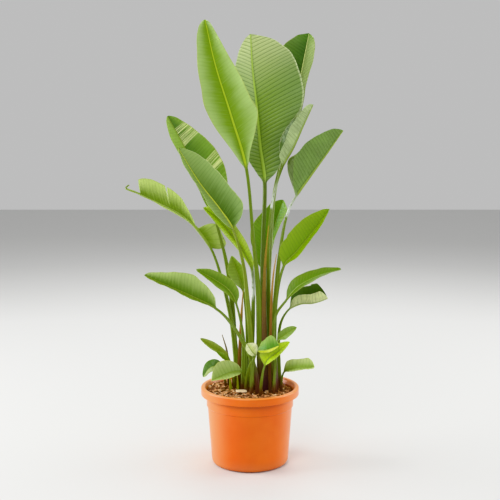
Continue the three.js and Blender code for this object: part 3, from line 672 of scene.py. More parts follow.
@dataclass
class Leaf:
    """A stalked leaf, in millimetres: its path from the foot to the tip and half widths along the blade.

    The path's point number neck, counted from 0, ends the stalk, and the stalk's two radii are those at
    its foot and there.
    """

    RIB_PLACES = np.array([1 / 3, 2 / 3, 1.0])
    BLADE_PLACES = np.array([0.07, 0.16, 0.26, 0.37, 0.48, 0.6, 0.72, 0.83, 0.92, 0.985, 1.0])
    THICKNESS = 0.9
    FOOT_SHARE = 0.08
    PATH_SAMPLES = 400
    STALK_STEP = 14
    ROWS_PER_VEIN = 7
    RIB_TAPER = 0.72
    RIB_DIP = 0.22
    KEEL = 1.15
    TIP_ROUNDING = 1.6
    LONGEST_TIP = 0.25
    HALF_PHASE = 1.3
    FINE_WAVES = 3.3
    FINE_WAVE_HEIGHT = 0.3
    FINE_WAVE_SHIFT = 2.1
    VEIN_SHIFT = 3.1
    VEIN_WOBBLE = 1.6
    WOBBLE_LENGTH = 23
    PLEAT_HEIGHT = 1.6
    PLEAT_STRENGTH = (0.75, 0.5)
    PLEAT_CHANGE_LENGTH = 61
    PLEAT_FADE = 0.45
    LEAN_BULGE = 0.15
    MEAN_ARCH = 0.64
    SMOOTH_BESIDE_RIB = 9.0
    STRIP_LIFT = 7.0
    STRIP_TURN = 2.4
    LEAST_HALF = 0.6
    NECK_BLEND = 20.0
    STALK_FLATNESS = 0.88
    GROOVE_DEPTH = 0.42
    GROOVE_WIDTH = 0.42
    GROOVE_START = (0.05, 0.5)
    CLASP_END = (0.35, 0.95)

    name: str
    path: list[Point]
    neck: int
    stalk: tuple[float, float]
    left: tuple[float, ...]
    right: tuple[float, ...]
    fold: float
    curl: float
    facing: tuple[Point, Point]
    waves: float
    waving: float
    tone: Tone
    finish: LeafFinish
    right_tears: tuple[Tear, ...] = ()
    ribbing: float = 0.42
    pitch: float = 10.5
    slant: tuple[float, float] = (0.04, 0.42)
    clasp: float = 0.45
    ease: float = 4.0
    torn_off: float = 1.0
    seed: float = 0.0

    def rows(self) -> tuple[np.ndarray, float]:
        """The times of the sections, close together in the blade and further apart in the stalk.

        Returns:
            The times and the time of the neck.
        """
        neck_at = self.neck / (len(self.path) - 1)
        times = np.linspace(0, 1, self.PATH_SAMPLES)
        total = length_along(spline(np.array(self.path, float), times)[0])
        neck_length = np.interp(neck_at, times, total)
        stalk_rows = max(8, int(neck_length / self.STALK_STEP))
        blade_rows = max(30, int((total[-1] - neck_length) / (self.pitch / self.ROWS_PER_VEIN)))
        lower = np.linspace(0, neck_at, stalk_rows, endpoint=False)
        return np.concatenate([lower, np.linspace(neck_at, 1, blade_rows)]), neck_at

    def turn(self, t: np.ndarray, neck_at: float) -> np.ndarray:
        """Where the upper face looks.

        It turns from the viewer at the foot to the neck's way, by the square of the share of the stalk, and
        then evenly to the tip's way.

        Args:
            t: Times from 0 at the foot to 1 at the tip.
            neck_at: The time of the neck.

        Returns:
            A unit vector for each time.
        """
        neck_way, tip_way = (unit(np.array(way, float)) for way in self.facing)
        low = (np.clip(t / neck_at, 0, 1) ** 2)[:, None]
        high = np.clip((t - neck_at) / (1 - neck_at), 0, 1)[:, None]
        lower = unit(TO_VIEWER * (1 - low) + neck_way * low)
        return np.where(high > 0, unit(neck_way * (1 - high) + tip_way * high), lower)

    def lean(self, f: np.ndarray) -> np.ndarray:
        """How far the side veins run on towards the tip for each step sideways, at shares of the blade."""
        foot, blade = self.slant
        return (blade + (foot - blade) * np.exp(-f / self.FOOT_SHARE)) * (1 - f ** self.ease)

    def half_width(self, values: tuple[float, ...], tears: tuple[Tear, ...], f: np.ndarray,
                   rib: np.ndarray, length: float) -> np.ndarray:
        """The half width along the blade.

        The listed widths are joined smoothly. The tip is rounded like an ellipse, and each tear cuts a
        wedge out of the width.

        Args:
            values: The listed widths.
            tears: The splits on this side.
            f: Shares of the blade.
            rib: The midrib's radius at those shares.
            length: The blade's length.

        Returns:
            The widths.
        """
        width = run_of(values, f)
        close = min(self.LONGEST_TIP, self.TIP_ROUNDING * values[-1] / length)
        width = width * np.sqrt(1 - np.clip((f - 1 + close) / close, 0, 0.995) ** 2)
        for tear in tears:
            wedge = np.clip(1 - np.abs(f - tear.at) * 2 / tear.gape, 0, 1)
            width = width * (1 - tear.depth * wedge)
        width = np.where(f > self.torn_off, 0.0, width)
        return np.maximum(width, rib + self.LEAST_HALF * self.THICKNESS)

    def lifts(self, tears: tuple[Tear, ...], f: np.ndarray, turn: float) -> np.ndarray:
        """How far each strip between tears stands off from its neighbours: a sine of the strip's number.

        Args:
            tears: The splits on this side.
            f: Shares of the blade.
            turn: Where the sine starts.

        Returns:
            Heights in millimetres.
        """
        strip = np.zeros_like(f)
        for tear in tears:
            strip = strip + (f > tear.at)
        return self.STRIP_LIFT * np.sin(strip * self.STRIP_TURN + turn) * (len(tears) > 0)

    def half(self, hand: int, f: np.ndarray, along: np.ndarray, rib: np.ndarray) -> Half:
        """One half of the blade.

        It leaves the midrib at the fold angle and bends on by the curl. To that are added two sines along
        the edge, pleats that are the arched sine of the distance along the midrib, and the lean of the
        side veins towards the tip.

        Args:
            hand: -1 for the left half and 1 for the right.
            f: Shares of the blade.
            along: Distances from the neck.
            rib: The midrib's radius.

        Returns:
            The half.
        """
        values, tears = (self.left, ()) if hand < 0 else (self.right, self.right_tears)
        width = self.half_width(values, tears, f, rib, along[-1])[:, None]
        along, fs = along[:, None], f[:, None]
        x = np.hstack([rib[:, None] * self.RIB_PLACES,
                       rib[:, None] + (width - rib[:, None]) * self.BLADE_PLACES])
        share = x / width
        fold, curl = math.radians(self.fold), math.radians(self.curl)
        bend = fold + curl * share
        over = width / curl * (np.sin(bend) - math.sin(fold))
        lift = width / curl * (math.cos(fold) - np.cos(bend))
        phase = 0.0 if hand < 0 else self.HALF_PHASE
        fine = self.waves * self.FINE_WAVES
        wave = self.waving * share ** 2 * (
            np.sin(2 * math.pi * self.waves * fs + phase)
            + self.FINE_WAVE_HEIGHT
            * np.sin(2 * math.pi * fine * fs + self.FINE_WAVE_SHIFT * phase + self.seed)
        )
        wobble = self.VEIN_WOBBLE * np.sin(along / self.WOBBLE_LENGTH + self.seed + phase)
        veins = (along + wobble + self.VEIN_SHIFT * phase) / self.pitch
        arch = np.abs(np.sin(math.pi * veins)) - self.MEAN_ARCH
        beside = soft_step(x - rib[:, None], 0.0, self.SMOOTH_BESIDE_RIB)
        calm = beside * (1 - self.PLEAT_FADE * share ** 4)
        mean, swing = self.PLEAT_STRENGTH
        change = along / self.PLEAT_CHANGE_LENGTH + 1.7 * self.seed + share * 2
        strength = mean + swing * np.sin(change)
        pleat = self.ribbing * self.PLEAT_HEIGHT * arch * calm * strength
        strip = self.lifts(tears, f, self.seed + phase)[:, None] * share ** 2
        bulge = (1 + self.LEAN_BULGE) * share - self.LEAN_BULGE * share ** 2
        forward = self.lean(f)[:, None] * width * bulge
        return Half(hand, x, share, bend, over, lift + wave + pleat + strip, forward, veins + 0 * share)

    def blade_face(self, face: int, frame: Frame, rib: np.ndarray, halves: list[Half]) -> np.ndarray:
        """One face of the blade, half its thickness off the middle surface and dipped at the midrib.

        Args:
            face: 1 for the upper face and -1 for the lower.
            frame: Where the sections stand.
            rib: The midrib's radius.
            halves: The left half and the right.

        Returns:
            Points by section, from the left edge to the right edge.
        """
        thick = face * self.THICKNESS / 2
        sides = []
        for half in halves:
            inside = np.clip(1 - (half.x / rib[:, None]) ** 2, 0, 1)
            dip = self.RIB_DIP * inside if face > 0 else self.KEEL * np.sqrt(inside)
            level = half.height + thick * np.cos(half.bend) - rib[:, None] * dip
            sideways = half.hand * half.over - half.hand * thick * np.sin(half.bend)
            sides.append(frame.place(sideways, level, half.forward))
        drop = self.RIB_DIP if face > 0 else self.KEEL
        middle = frame.points + frame.up * (thick - rib * drop)[:, None]
        return np.concatenate([sides[0][:, ::-1], middle[:, None], sides[1]], axis=1)

    def stalk_faces(self, frame: Frame, share: np.ndarray, rib: np.ndarray, count: int) -> list[np.ndarray]:
        """The upper and lower face of the stalk: a flattened circle with a groove on its upper side.

        Args:
            frame: Where the sections stand.
            share: The time of each section as a share of the neck's.
            rib: The midrib's radius.
            count: How many points each face has.

        Returns:
            The two faces' points by section.
        """
        foot, neck = self.stalk
        tapered = foot + (neck - foot) * np.sqrt(np.clip(share, 0, 1))
        radius = np.where(share < 1, tapered, rib)
        radius = radius * (1 + self.clasp * (1 - soft_step(share, *self.CLASP_END)))
        angle = math.pi * (1 - (np.arange(count) + 0.5) / count)
        hollow = np.exp(-(np.cos(angle) / self.GROOVE_WIDTH) ** 2)
        groove = self.GROOVE_DEPTH * soft_step(share, *self.GROOVE_START)[:, None] * hollow
        level = self.STALK_FLATNESS * np.sin(angle) * radius[:, None]
        sideways = np.cos(angle) * radius[:, None]
        return [frame.place(sideways, height) for height in (level * (1 - groove), -level)]

    def marks(self, frame: Frame, rib: np.ndarray, blend: np.ndarray, halves: list[Half]) -> Marks:
        """What the finish reads: the place on the blade, the vein, the face, the height and the midrib.

        Args:
            frame: Where the sections stand.
            rib: The midrib's radius.
            blend: 0 on the stalk and 1 on the blade.
            halves: The left half and the right.

        Returns:
            The marks by attribute name.
        """
        left, right = halves
        none = np.zeros((len(rib), 1))
        share = np.hstack([-left.share[:, ::-1], none, right.share])
        x = np.hstack([left.x[:, ::-1], none, right.x])
        off_rib = np.clip(x / rib[:, None] / 2, 0, 1)
        veins = np.hstack([left.veins[:, ::-1], left.veins[:, :1], right.veins])
        rise = np.repeat((frame.points[:, 2] * MM - SOIL_LEVEL)[:, None], share.shape[1], axis=1)
        body = np.repeat(blend, share.shape[1], axis=1)
        upper = np.stack([share, veins, np.ones_like(share)], -1)
        lower = np.stack([share, veins, np.zeros_like(share)], -1)[:, ::-1]
        parts = np.stack([body, rise, off_rib], -1)
        return {
            "leaf_place": skin_marks(np.concatenate([upper, lower], axis=1)),
            "leaf_parts": skin_marks(np.concatenate([parts, parts[:, ::-1]], axis=1)),
        }

    def build(self) -> bpy.types.Object:
        """Makes the leaf as one skin. The first stretch of the blade blends from the stalk's section.

        Returns:
            The piece.
        """
        t, neck_at = self.rows()
        f = np.clip((t - neck_at) / (1 - neck_at), 0, 1)
        frame = Frame.along(self.path, t, self.turn(t, neck_at))
        run = length_along(frame.points)
        along = run - np.interp(neck_at, t, run)
        rib = self.stalk[1] * (1 - self.RIB_TAPER * f)
        halves = [self.half(hand, f, along, rib) for hand in (-1, 1)]
        count = 2 * halves[0].x.shape[1] + 1
        blend = soft_step(f * along[-1], 0.0, self.NECK_BLEND)[:, None]
        round_faces = self.stalk_faces(frame, t / neck_at, rib, count)
        top, bottom = (
            stalk * (1 - blend[..., None]) + self.blade_face(face, frame, rib, halves) * blend[..., None]
            for face, stalk in zip((1, -1), round_faces)
        )
        vertices, faces = skin(np.concatenate([top, bottom[:, ::-1]], axis=1) * MM)
        marks = self.marks(frame, rib, blend, halves)
        material = self.finish.dress("finish_" + self.name, self.seed)
        piece_name = self.name.replace("leaf", "green_leaf", 1)
        return make_piece(piece_name, vertices, faces, material, (self.name,), marks)


@dataclass(frozen=True)
class DryFinish:
    """A fibrous shoot or dry sheath, coloured from its foot to its tip."""

    FIBRE_GRID = (9, 14)
    PATCH_SCALE = 34.0
    FIBRE_SHADE = (0.4, 0.33, 0.28)
    RELIEF = 0.0008

    foot: Colour
    middle: Colour
    tip: Colour
    roughness: float = 0.7

    def dress(self, name: str) -> bpy.types.Material:
        """Makes the material: fibres of stretched noise over colours that change with the height.

        Args:
            name: The material's name.

        Returns:
            The material.
        """
        board = Board(name)
        along, around, rise = board.mark("spear_place")
        wide, high = self.FIBRE_GRID
        fibre = board.noise(board.place(around * wide, rise * high, 2.0), 1.0, 4.0)
        patch = board.noise(board.object_place(), self.PATCH_SCALE, 3.0)
        place = along + (patch - 0.5) * 0.3
        colour = board.ramp(place, [(0.0, self.foot), (0.55, self.middle), (1.0, self.tip)])
        colour = board.mix(board.step(fibre, 0.42, 0.62) * 0.45, colour, self.FIBRE_SHADE, "MULTIPLY")
        colour = board.mix(board.step(fibre, 0.6, 0.75) * 0.3, colour, self.tip)
        return board.surface({
            "Base Color": colour, "Roughness": self.roughness + (fibre - 0.5) * 0.2,
            "Normal": board.bump(fibre + patch * 0.5, self.RELIEF), "Specular IOR Level": 0.3,
        })


@dataclass
class Spear:
    """A pointed dry sheath, cut stalk or young shoot: path and radii in millimetres."""

    SECTIONS = 60
    AROUND = 28
    RIDGES = (7, 11)
    TWIST = 3
    FOLD_WIDTH = 0.12
    FOLD_DEPTH = 0.35

    name: str
    path: list[Point]
    radii: tuple[float, ...]
    flatness: float
    finish: DryFinish
    slot: str
    wrinkle: float = 0.07

    def build(self) -> bpy.types.Object:
        """Makes the spear.

        Its section is a flattened circle with shallow ridges, a few sines of the angle, and a fold on its
        front that deepens with the height.

        Returns:
            The piece.
        """
        t = np.linspace(0, 1, self.SECTIONS)
        frame = Frame.along(self.path, t, TO_VIEWER)
        radius = np.interp(t, np.linspace(0, 1, len(self.radii)), self.radii)[:, None]
        angle = math.pi - np.linspace(0, 2 * math.pi, self.AROUND, endpoint=False)
        few, many = self.RIDGES
        ridges = np.sin(few * angle + self.TWIST * t[:, None]) + 0.6 * np.sin(many * angle + 1.3)
        front = np.exp(-((np.sin(angle) - 1) / self.FOLD_WIDTH) ** 2)
        fold = front * self.FOLD_DEPTH * t[:, None]
        spread = radius * (1 - self.wrinkle / 2 + self.wrinkle / 2 * ridges - fold)
        rings = frame.place(spread * np.cos(angle), spread * self.flatness * np.sin(angle)) * MM
        shape = np.ones_like(spread)
        rise = (frame.points[:, 2] * MM - SOIL_LEVEL)[:, None] * shape
        above = np.clip(rise / rise.max(), 0, 1)
        marks = skin_marks(np.stack([above, np.cos(angle) * shape, rise * 10], -1))
        vertices, faces = skin(rings)
        material = self.finish.dress("finish_" + self.name)
        return make_piece("dressed_" + self.name, vertices, faces, material, (self.name,),
                          {"spear_place": marks})


@dataclass(frozen=True)
class PotPlastic:
    """Orange moulded plastic with faint rings, scuffs and dust, painted highlights and painted shade.

    The highlights are painted on its left and right sides and on its rim, the shade on its inside wall.
    Reaches from the axis and heights are in metres, each from where a colour starts to where it is full.
    """

    body: Colour = shade(226, 98, 2)
    light: Colour = shade(240, 128, 24)
    # Painted shade for the inside wall above the mix.
    dark: Colour = shade(150, 56, 8)
    # A painted highlight for the left and right sides and for the rim.
    painted_highlight: Colour = shade(248, 172, 92)
    dust: Colour = shade(196, 140, 100)
    # Where the painted highlights on the left and right sides begin and where they are full.
    left_highlight: tuple[float, float] = (0.055, 0.13)
    right_highlight: tuple[float, float] = (0.07, 0.135)
    # Where the painted shade on the inside wall begins and where it is full.
    inside_shade_reach: tuple[float, float] = (0.1335, 0.1315)
    inside_shade_height: tuple[float, float] = (0.2, 0.21)
    # Where the painted highlight on the rim begins and where it is full.
    rim_highlight_reach: tuple[float, float] = (0.1355, 0.145)
    rim_highlight_height: tuple[float, float] = (0.2355, 0.2385)
    dust_height: tuple[float, float] = (0.045, 0.002)
    ring_spacing: float = 0.006
    relief: float = 0.00012

    def dress(self) -> bpy.types.Material:
        """Makes the material.

        Returns:
            The material.
        """
        board = Board("finish_pot_plastic")
        spot = board.object_place()
        x, y, z = board.parts(spot)
        cloud = board.noise(spot, 9.0, 3.0)
        speck = board.noise(spot, 420.0, 2.0)
        drag = board.noise(board.place(x * 18, y * 18, z * 240), 1.0, 3.0)
        colour = board.mix(board.step(cloud, 0.35, 0.7), self.body, board.mix(0.35, self.body, self.light))
        reach = board.math("SQRT", x * x + y * y)
        # Painted highlights down the left and right sides.
        side_highlight = board.step(0.0 - x, *self.left_highlight) * 0.7 + board.step(x, *self.right_highlight) * 0.4
        colour = board.mix(side_highlight, colour, self.painted_highlight)
        # Painted shade on the inside wall above the mix.
        inside = board.step(reach, *self.inside_shade_reach) * board.step(z, *self.inside_shade_height)
        colour = board.mix(inside * 0.95, colour, self.dark)
        low = board.step(z + (cloud - 0.5) * 0.03, *self.dust_height)
        colour = board.mix(low * 0.3, colour, self.dust)
        scuff = board.step(drag, 0.66, 0.74) * board.step(cloud, 0.45, 0.6)
        colour = board.mix(scuff * 0.25, colour, self.dust)
        # A painted highlight on the rim's outer top edge.
        rim = board.step(z, *self.rim_highlight_height) * board.step(reach, *self.rim_highlight_reach)
        colour = board.mix(rim * 0.6, colour, self.painted_highlight)
        rings = board.math("SINE", z * (2 * math.pi / self.ring_spacing)) * 0.25
        relief = board.bump(rings + speck * 0.6 + drag * 0.4, self.relief)
        rough = 0.3 + (cloud - 0.5) * 0.16 + scuff * 0.2 + low * 0.2
        return board.surface({
            "Base Color": colour, "Roughness": rough, "Normal": relief,
            "Specular IOR Level": 0.5, "Coat Weight": 0.2, "Coat Roughness": 0.25,
        })


@dataclass
class Pot:
    """The round tapered pot with its collar and turned-down rim, in millimetres."""

    AROUND = 144
    ARC_POINTS = 5
    LARGEST_CUT = 3.5
    CUT_SHARE = 0.42
    HOLE_SIDES = 24
    DRILL_HEIGHTS = (-6.0, 9.0)

    height: float = 240.0
    rim: float = 150.0
    lip_depth: float = 24.0
    lip: float = 3.0
    overhang: float = 14.0
    collar: float = 133.0
    collar_bottom: float = 180.0
    body_top: float = 129.5
    body_bottom: float = 117.5
    rounding: float = 12.0
    underside_band: float = 30.0
    draft: float = 0.4
    step: float = 2.0
    rim_thickness: float = 5.0
    rim_edge: tuple[float, float] = (2.6, 3.0)
    wall: float = 2.8
    holes: int = 6
    hole_radius: float = 7.0
    hole_circle: float = 74.0

    def profile(self) -> np.ndarray:
        """The wall's outline from the middle of the underside, up outside, over the rim and down inside.

        Each corner is replaced by a short parabola that starts and ends on the two sides of it.

        Returns:
            Radii and heights.
        """
        bottom, rim = self.body_bottom, self.rim
        under, top = self.height - self.lip_depth, self.height - self.rim_thickness
        chamfer = self.rounding * 0.3
        inner_collar, inner_body = self.collar - self.wall, self.body_top - self.wall
        corners = np.array([
            [0, 0], [bottom - self.underside_band, 0], [bottom - self.rounding, 0],
            [bottom - chamfer, chamfer], [bottom, self.rounding],
            [self.body_top, self.collar_bottom - self.step],
            [self.collar - self.draft, self.collar_bottom + 0.5], [self.collar, under + self.step],
            [rim - self.overhang, top], [rim - self.lip - 1, top],
            [rim - self.lip, under], [rim - self.draft, under], [rim, self.height - self.rim_edge[1]],
            [rim - self.rim_edge[0], self.height], [rim - self.overhang + self.step, self.height],
            [inner_collar + self.draft, under + 3 * self.step], [inner_collar - 1, self.collar_bottom],
            [inner_body, self.collar_bottom - 2 * self.step], [bottom - self.wall, self.rounding],
            [bottom - self.rounding - self.step, self.wall], [0, self.wall],
        ], float)
        before, here, after = corners[:-2], corners[1:-1], corners[2:]
        back, ahead = before - here, after - here
        shorter = np.minimum(np.linalg.norm(back, axis=1), np.linalg.norm(ahead, axis=1))
        cut = np.minimum(shorter * self.CUT_SHARE, self.LARGEST_CUT)[:, None]
        start, end = here + unit(back) * cut, here + unit(ahead) * cut
        u = np.linspace(0, 1, self.ARC_POINTS)[None, :, None]
        arcs = (1 - u) ** 2 * start[:, None] + 2 * u * (1 - u) * here[:, None] + u ** 2 * end[:, None]
        return np.vstack([corners[:1], arcs.reshape(-1, 2), corners[-1:]])

    def build(self) -> bpy.types.Object:
        """Carries the profile round the axis and cuts the drain holes.

        Returns:
            The piece.
        """
        outline = self.profile()[1:-1]
        angle = np.linspace(0, 2 * math.pi, self.AROUND, endpoint=False)
        radius, height = outline[:, :1], outline[:, 1:]
        rings = np.stack([radius * np.cos(angle), radius * np.sin(angle), height + 0 * angle], -1) * MM
        vertices, faces = skin(rings)
        vertices[-2:] = [[0, 0, 0], [0, 0, self.wall * MM]]
        pot = make_piece("nursery_pot", vertices, faces, PotPlastic().dress(), ("pot",))
        self.drill(pot)
        return pot

    def drill(self, pot: bpy.types.Object) -> None:
        """Cuts the drain holes out of the pot's floor.

        Args:
            pot: The pot, whose mesh is changed.
        """
        turn = np.linspace(0, 2 * math.pi, self.HOLE_SIDES, endpoint=False)
        circle = np.stack([np.cos(turn), np.sin(turn)], -1) * self.hole_radius
        vertices, faces = [], []
        for k in range(self.holes):
            way = 2 * math.pi * k / self.holes
            middle = np.array([math.cos(way), math.sin(way)]) * self.hole_circle
            rings = np.stack([np.column_stack([circle + middle, np.full(self.HOLE_SIDES, z)])
                              for z in self.DRILL_HEIGHTS])
            spots, sides = skin(rings * MM)
            faces += [[v + len(vertices) for v in face] for face in sides]
            vertices += spots.tolist()
        mesh = bpy.data.meshes.new("drain_cutter")
        mesh.from_pydata(vertices, [], faces)
        cutter = bpy.data.objects.new("drain_cutter", mesh)
        bpy.context.scene.collection.objects.link(cutter)
        cut = pot.modifiers.new("drain_holes", "BOOLEAN")
        cut.object = cutter
        cut.operation = "DIFFERENCE"
        bpy.context.view_layer.update()
        graph = bpy.context.evaluated_depsgraph_get()
        drilled = bpy.data.meshes.new_from_object(pot.evaluated_get(graph))
        pot.modifiers.clear()
        pot.data = drilled
        bpy.data.objects.remove(cutter)


@dataclass(frozen=True)
class BarkFinish:
    """Bark pieces from near black to pale orange, by the tint that each piece carries."""

    dark: Colour = shade(74, 48, 36)
    brown: Colour = shade(164, 112, 78)
    orange: Colour = shade(222, 168, 114)
    pale: Colour = shade(244, 218, 176)
    relief: float = 0.0014

    def dress(self) -> bpy.types.Material:
        """Makes the material.

        Returns:
            The material.
        """
        board = Board("finish_bark")
        tint = board.mark("bark_tint")[0]
        spot = board.object_place()
        crumbs = board.noise(spot, 260.0, 4.0)
        patch = board.noise(spot, 60.0, 2.0)
        place = tint + (crumbs - 0.5) * 0.4 + (patch - 0.5) * 0.25
        stops = [(0.05, self.dark), (0.35, self.brown), (0.68, self.orange), (1.0, self.pale)]
        return board.surface({
            "Base Color": board.ramp(place, stops), "Roughness": 0.88 + (crumbs - 0.5) * 0.2,
            "Normal": board.bump(crumbs + patch * 0.5, self.relief), "Specular IOR Level": 0.25,
        })


@dataclass
class PottingMix:
    """The bed of fine mix and the bark pieces that lie on it, in metres."""

    AROUND = 160
    RINGS = 60
    SMALLEST_RING = 0.02
    CRUMB = 0.0016
    BED_DROP = 0.002
    BASE_INSET = 0.007
    BED_TINT = 0.42
    EDGE_GAP = 0.001
    INWARD = 0.25
    FOOT_GAP = 0.38
    ROUGHNESS = (0.8, 1.2)
    REST = 0.15
    RISE = (-0.001, 0.0025)
    LEVELS = np.array([-0.5, -0.3, 0.35, 0.5])
    SWELL = np.array([0.78, 1.0, 0.96, 0.7])

    radius: float = 0.129
    floor: float = 0.09
    chips: int = 1100
    chip_length: tuple[float, float] = (0.005, 0.014)
    chip_width: tuple[float, float] = (0.45, 0.8)
    chip_thickness: tuple[float, float] = (0.16, 0.3)
    unevenness: tuple[float, float] = (0.72, 1.12)
    tilting: float = 0.33
    tint: tuple[float, float] = (0.5, 0.24)
    tint_fall: float = 0.9
    sides: int = 7
    feet: np.ndarray = field(default_factory=lambda: np.zeros((0, 3)))

    def build(self) -> None:
        """Makes the bed and the bark pieces."""
        finish = BarkFinish().dress()
        self.bed(finish)
        self.bark(finish)

    def bed(self, material: bpy.types.Material) -> None:
        """A closed round body whose top is the mix's surface with fine random crumbs.

        Args:
            material: Its finish.
        """
        rng = np.random.default_rng(3)
        angle = np.linspace(0, 2 * math.pi, self.AROUND, endpoint=False)
        reach = np.linspace(1.0, self.SMALLEST_RING, self.RINGS)[:, None] * self.radius
        x, y = reach * np.cos(angle), reach * np.sin(angle)
        crumbs = rng.uniform(-self.CRUMB, self.CRUMB, x.shape)
        tops = np.stack([x, y, soil_height(x, y) - self.BED_DROP + crumbs], -1)
        inner = self.radius - self.BASE_INSET
        base = np.stack([inner * np.cos(angle), inner * np.sin(angle), 0 * angle + self.floor], -1)
        vertices, faces = skin(np.concatenate([base[None], tops]))
        tint = rng.uniform(0.0, self.BED_TINT, len(vertices))
        marks = np.column_stack([tint, np.zeros((len(vertices), 2))])
        make_piece("mix_bed", vertices, faces, material, ("potting_mix",),
                   {"bark_tint": marks})

    def scatter(self, rng: np.random.Generator) -> tuple[np.ndarray, np.ndarray, np.ndarray]:
        """Picks places for the flakes, evenly over the bed and clear of the stalks' feet.

        Args:
            rng: Where the random numbers come from.

        Returns:
            The flakes' x, their y and their lengths.
        """
        tries = self.chips * 3
        length = rng.uniform(*self.chip_length, tries)
        widest = self.radius - self.EDGE_GAP
        reach = np.sqrt(rng.uniform(0, 1, tries)) * widest - length * self.INWARD
        way = rng.uniform(0, 2 * math.pi, tries)
        x, y = np.abs(reach) * np.cos(way), np.abs(reach) * np.sin(way)
        gaps = np.hypot(x[:, None] - self.feet[:, 0], y[:, None] - self.feet[:, 1])
        clear = (gaps - self.feet[:, 2] - length[:, None] * self.FOOT_GAP).min(1) > 0
        keep = np.flatnonzero(clear)[: self.chips]
        return x[keep], y[keep], length[keep]

    def flakes(self, rng: np.random.Generator, length: np.ndarray) -> tuple[np.ndarray, np.ndarray]:
        """Flakes about their own middles: many-sided slabs with uneven corners, turned and tilted a little.

        Args:
            rng: Where the random numbers come from.
            length: The flakes' lengths.

        Returns:
            Points by flake, level and corner, and the flakes' thicknesses.
        """
        count = len(length)
        thick = length * rng.uniform(*self.chip_thickness, count)
        wide = length * rng.uniform(*self.chip_width, count)
        angle = np.linspace(0, 2 * math.pi, self.sides, endpoint=False)
        uneven = rng.uniform(*self.unevenness, (count, self.sides))
        spread = uneven[:, None, :] * self.SWELL[None, :, None] / 2
        rough = rng.uniform(*self.ROUGHNESS, (count, len(self.LEVELS), self.sides))
        local = np.stack([
            spread * np.cos(angle) * length[:, None, None], spread * np.sin(angle) * wide[:, None, None],
            self.LEVELS[None, :, None] * thick[:, None, None] * rough,
        ], -1)
        yaw, tilt, roll = rng.uniform(0, 2 * math.pi, count), *rng.normal(0, self.tilting, (2, count))
        zero, one = np.zeros(count), np.ones(count)
        turn_z = np.array([[np.cos(yaw), -np.sin(yaw), zero], [np.sin(yaw), np.cos(yaw), zero],
                           [zero, zero, one]])
        turn_x = np.array([[one, zero, zero], [zero, np.cos(tilt), -np.sin(tilt)],
                           [zero, np.sin(tilt), np.cos(tilt)]])
        turn_y = np.array([[np.cos(roll), zero, np.sin(roll)], [zero, one, zero],
                           [-np.sin(roll), zero, np.cos(roll)]])
        return np.einsum("ijn,jkn,kln,nrsl->nrsi", turn_z, turn_x, turn_y, local), thick

    def bark(self, material: bpy.types.Material) -> None:
        """Makes the flakes, sunk a little in the bed and paler towards the left.

        Args:
            material: Their finish.
        """
        rng = np.random.default_rng(11)
        x, y, length = self.scatter(rng)
        turned, thick = self.flakes(rng, length)
        count = len(length)
        ground = soil_height(x, y) + thick * self.REST + rng.uniform(*self.RISE, count)
        turned += np.stack([x, y, ground], -1)[:, None, None, :]
        tint = np.clip(rng.normal(*self.tint, count) - self.tint_fall * x, 0.02, 1.0)
        template = skin(turned[0])[1]
        size = len(self.LEVELS) * self.sides + 2
        ends = np.stack([turned[:, 0].mean(1), turned[:, -1].mean(1)], 1)
        vertices = np.concatenate([turned.reshape(count, -1, 3), ends], 1).reshape(-1, 3)
        faces = [[v + size * k for v in face] for k in range(count) for face in template]
        tints = np.repeat(tint, size)
        marks = np.column_stack([tints, np.zeros((len(tints), 2))])
        make_piece("bark_pieces", vertices, faces, material, (),
                   {"bark_tint": marks}, smooth=False)


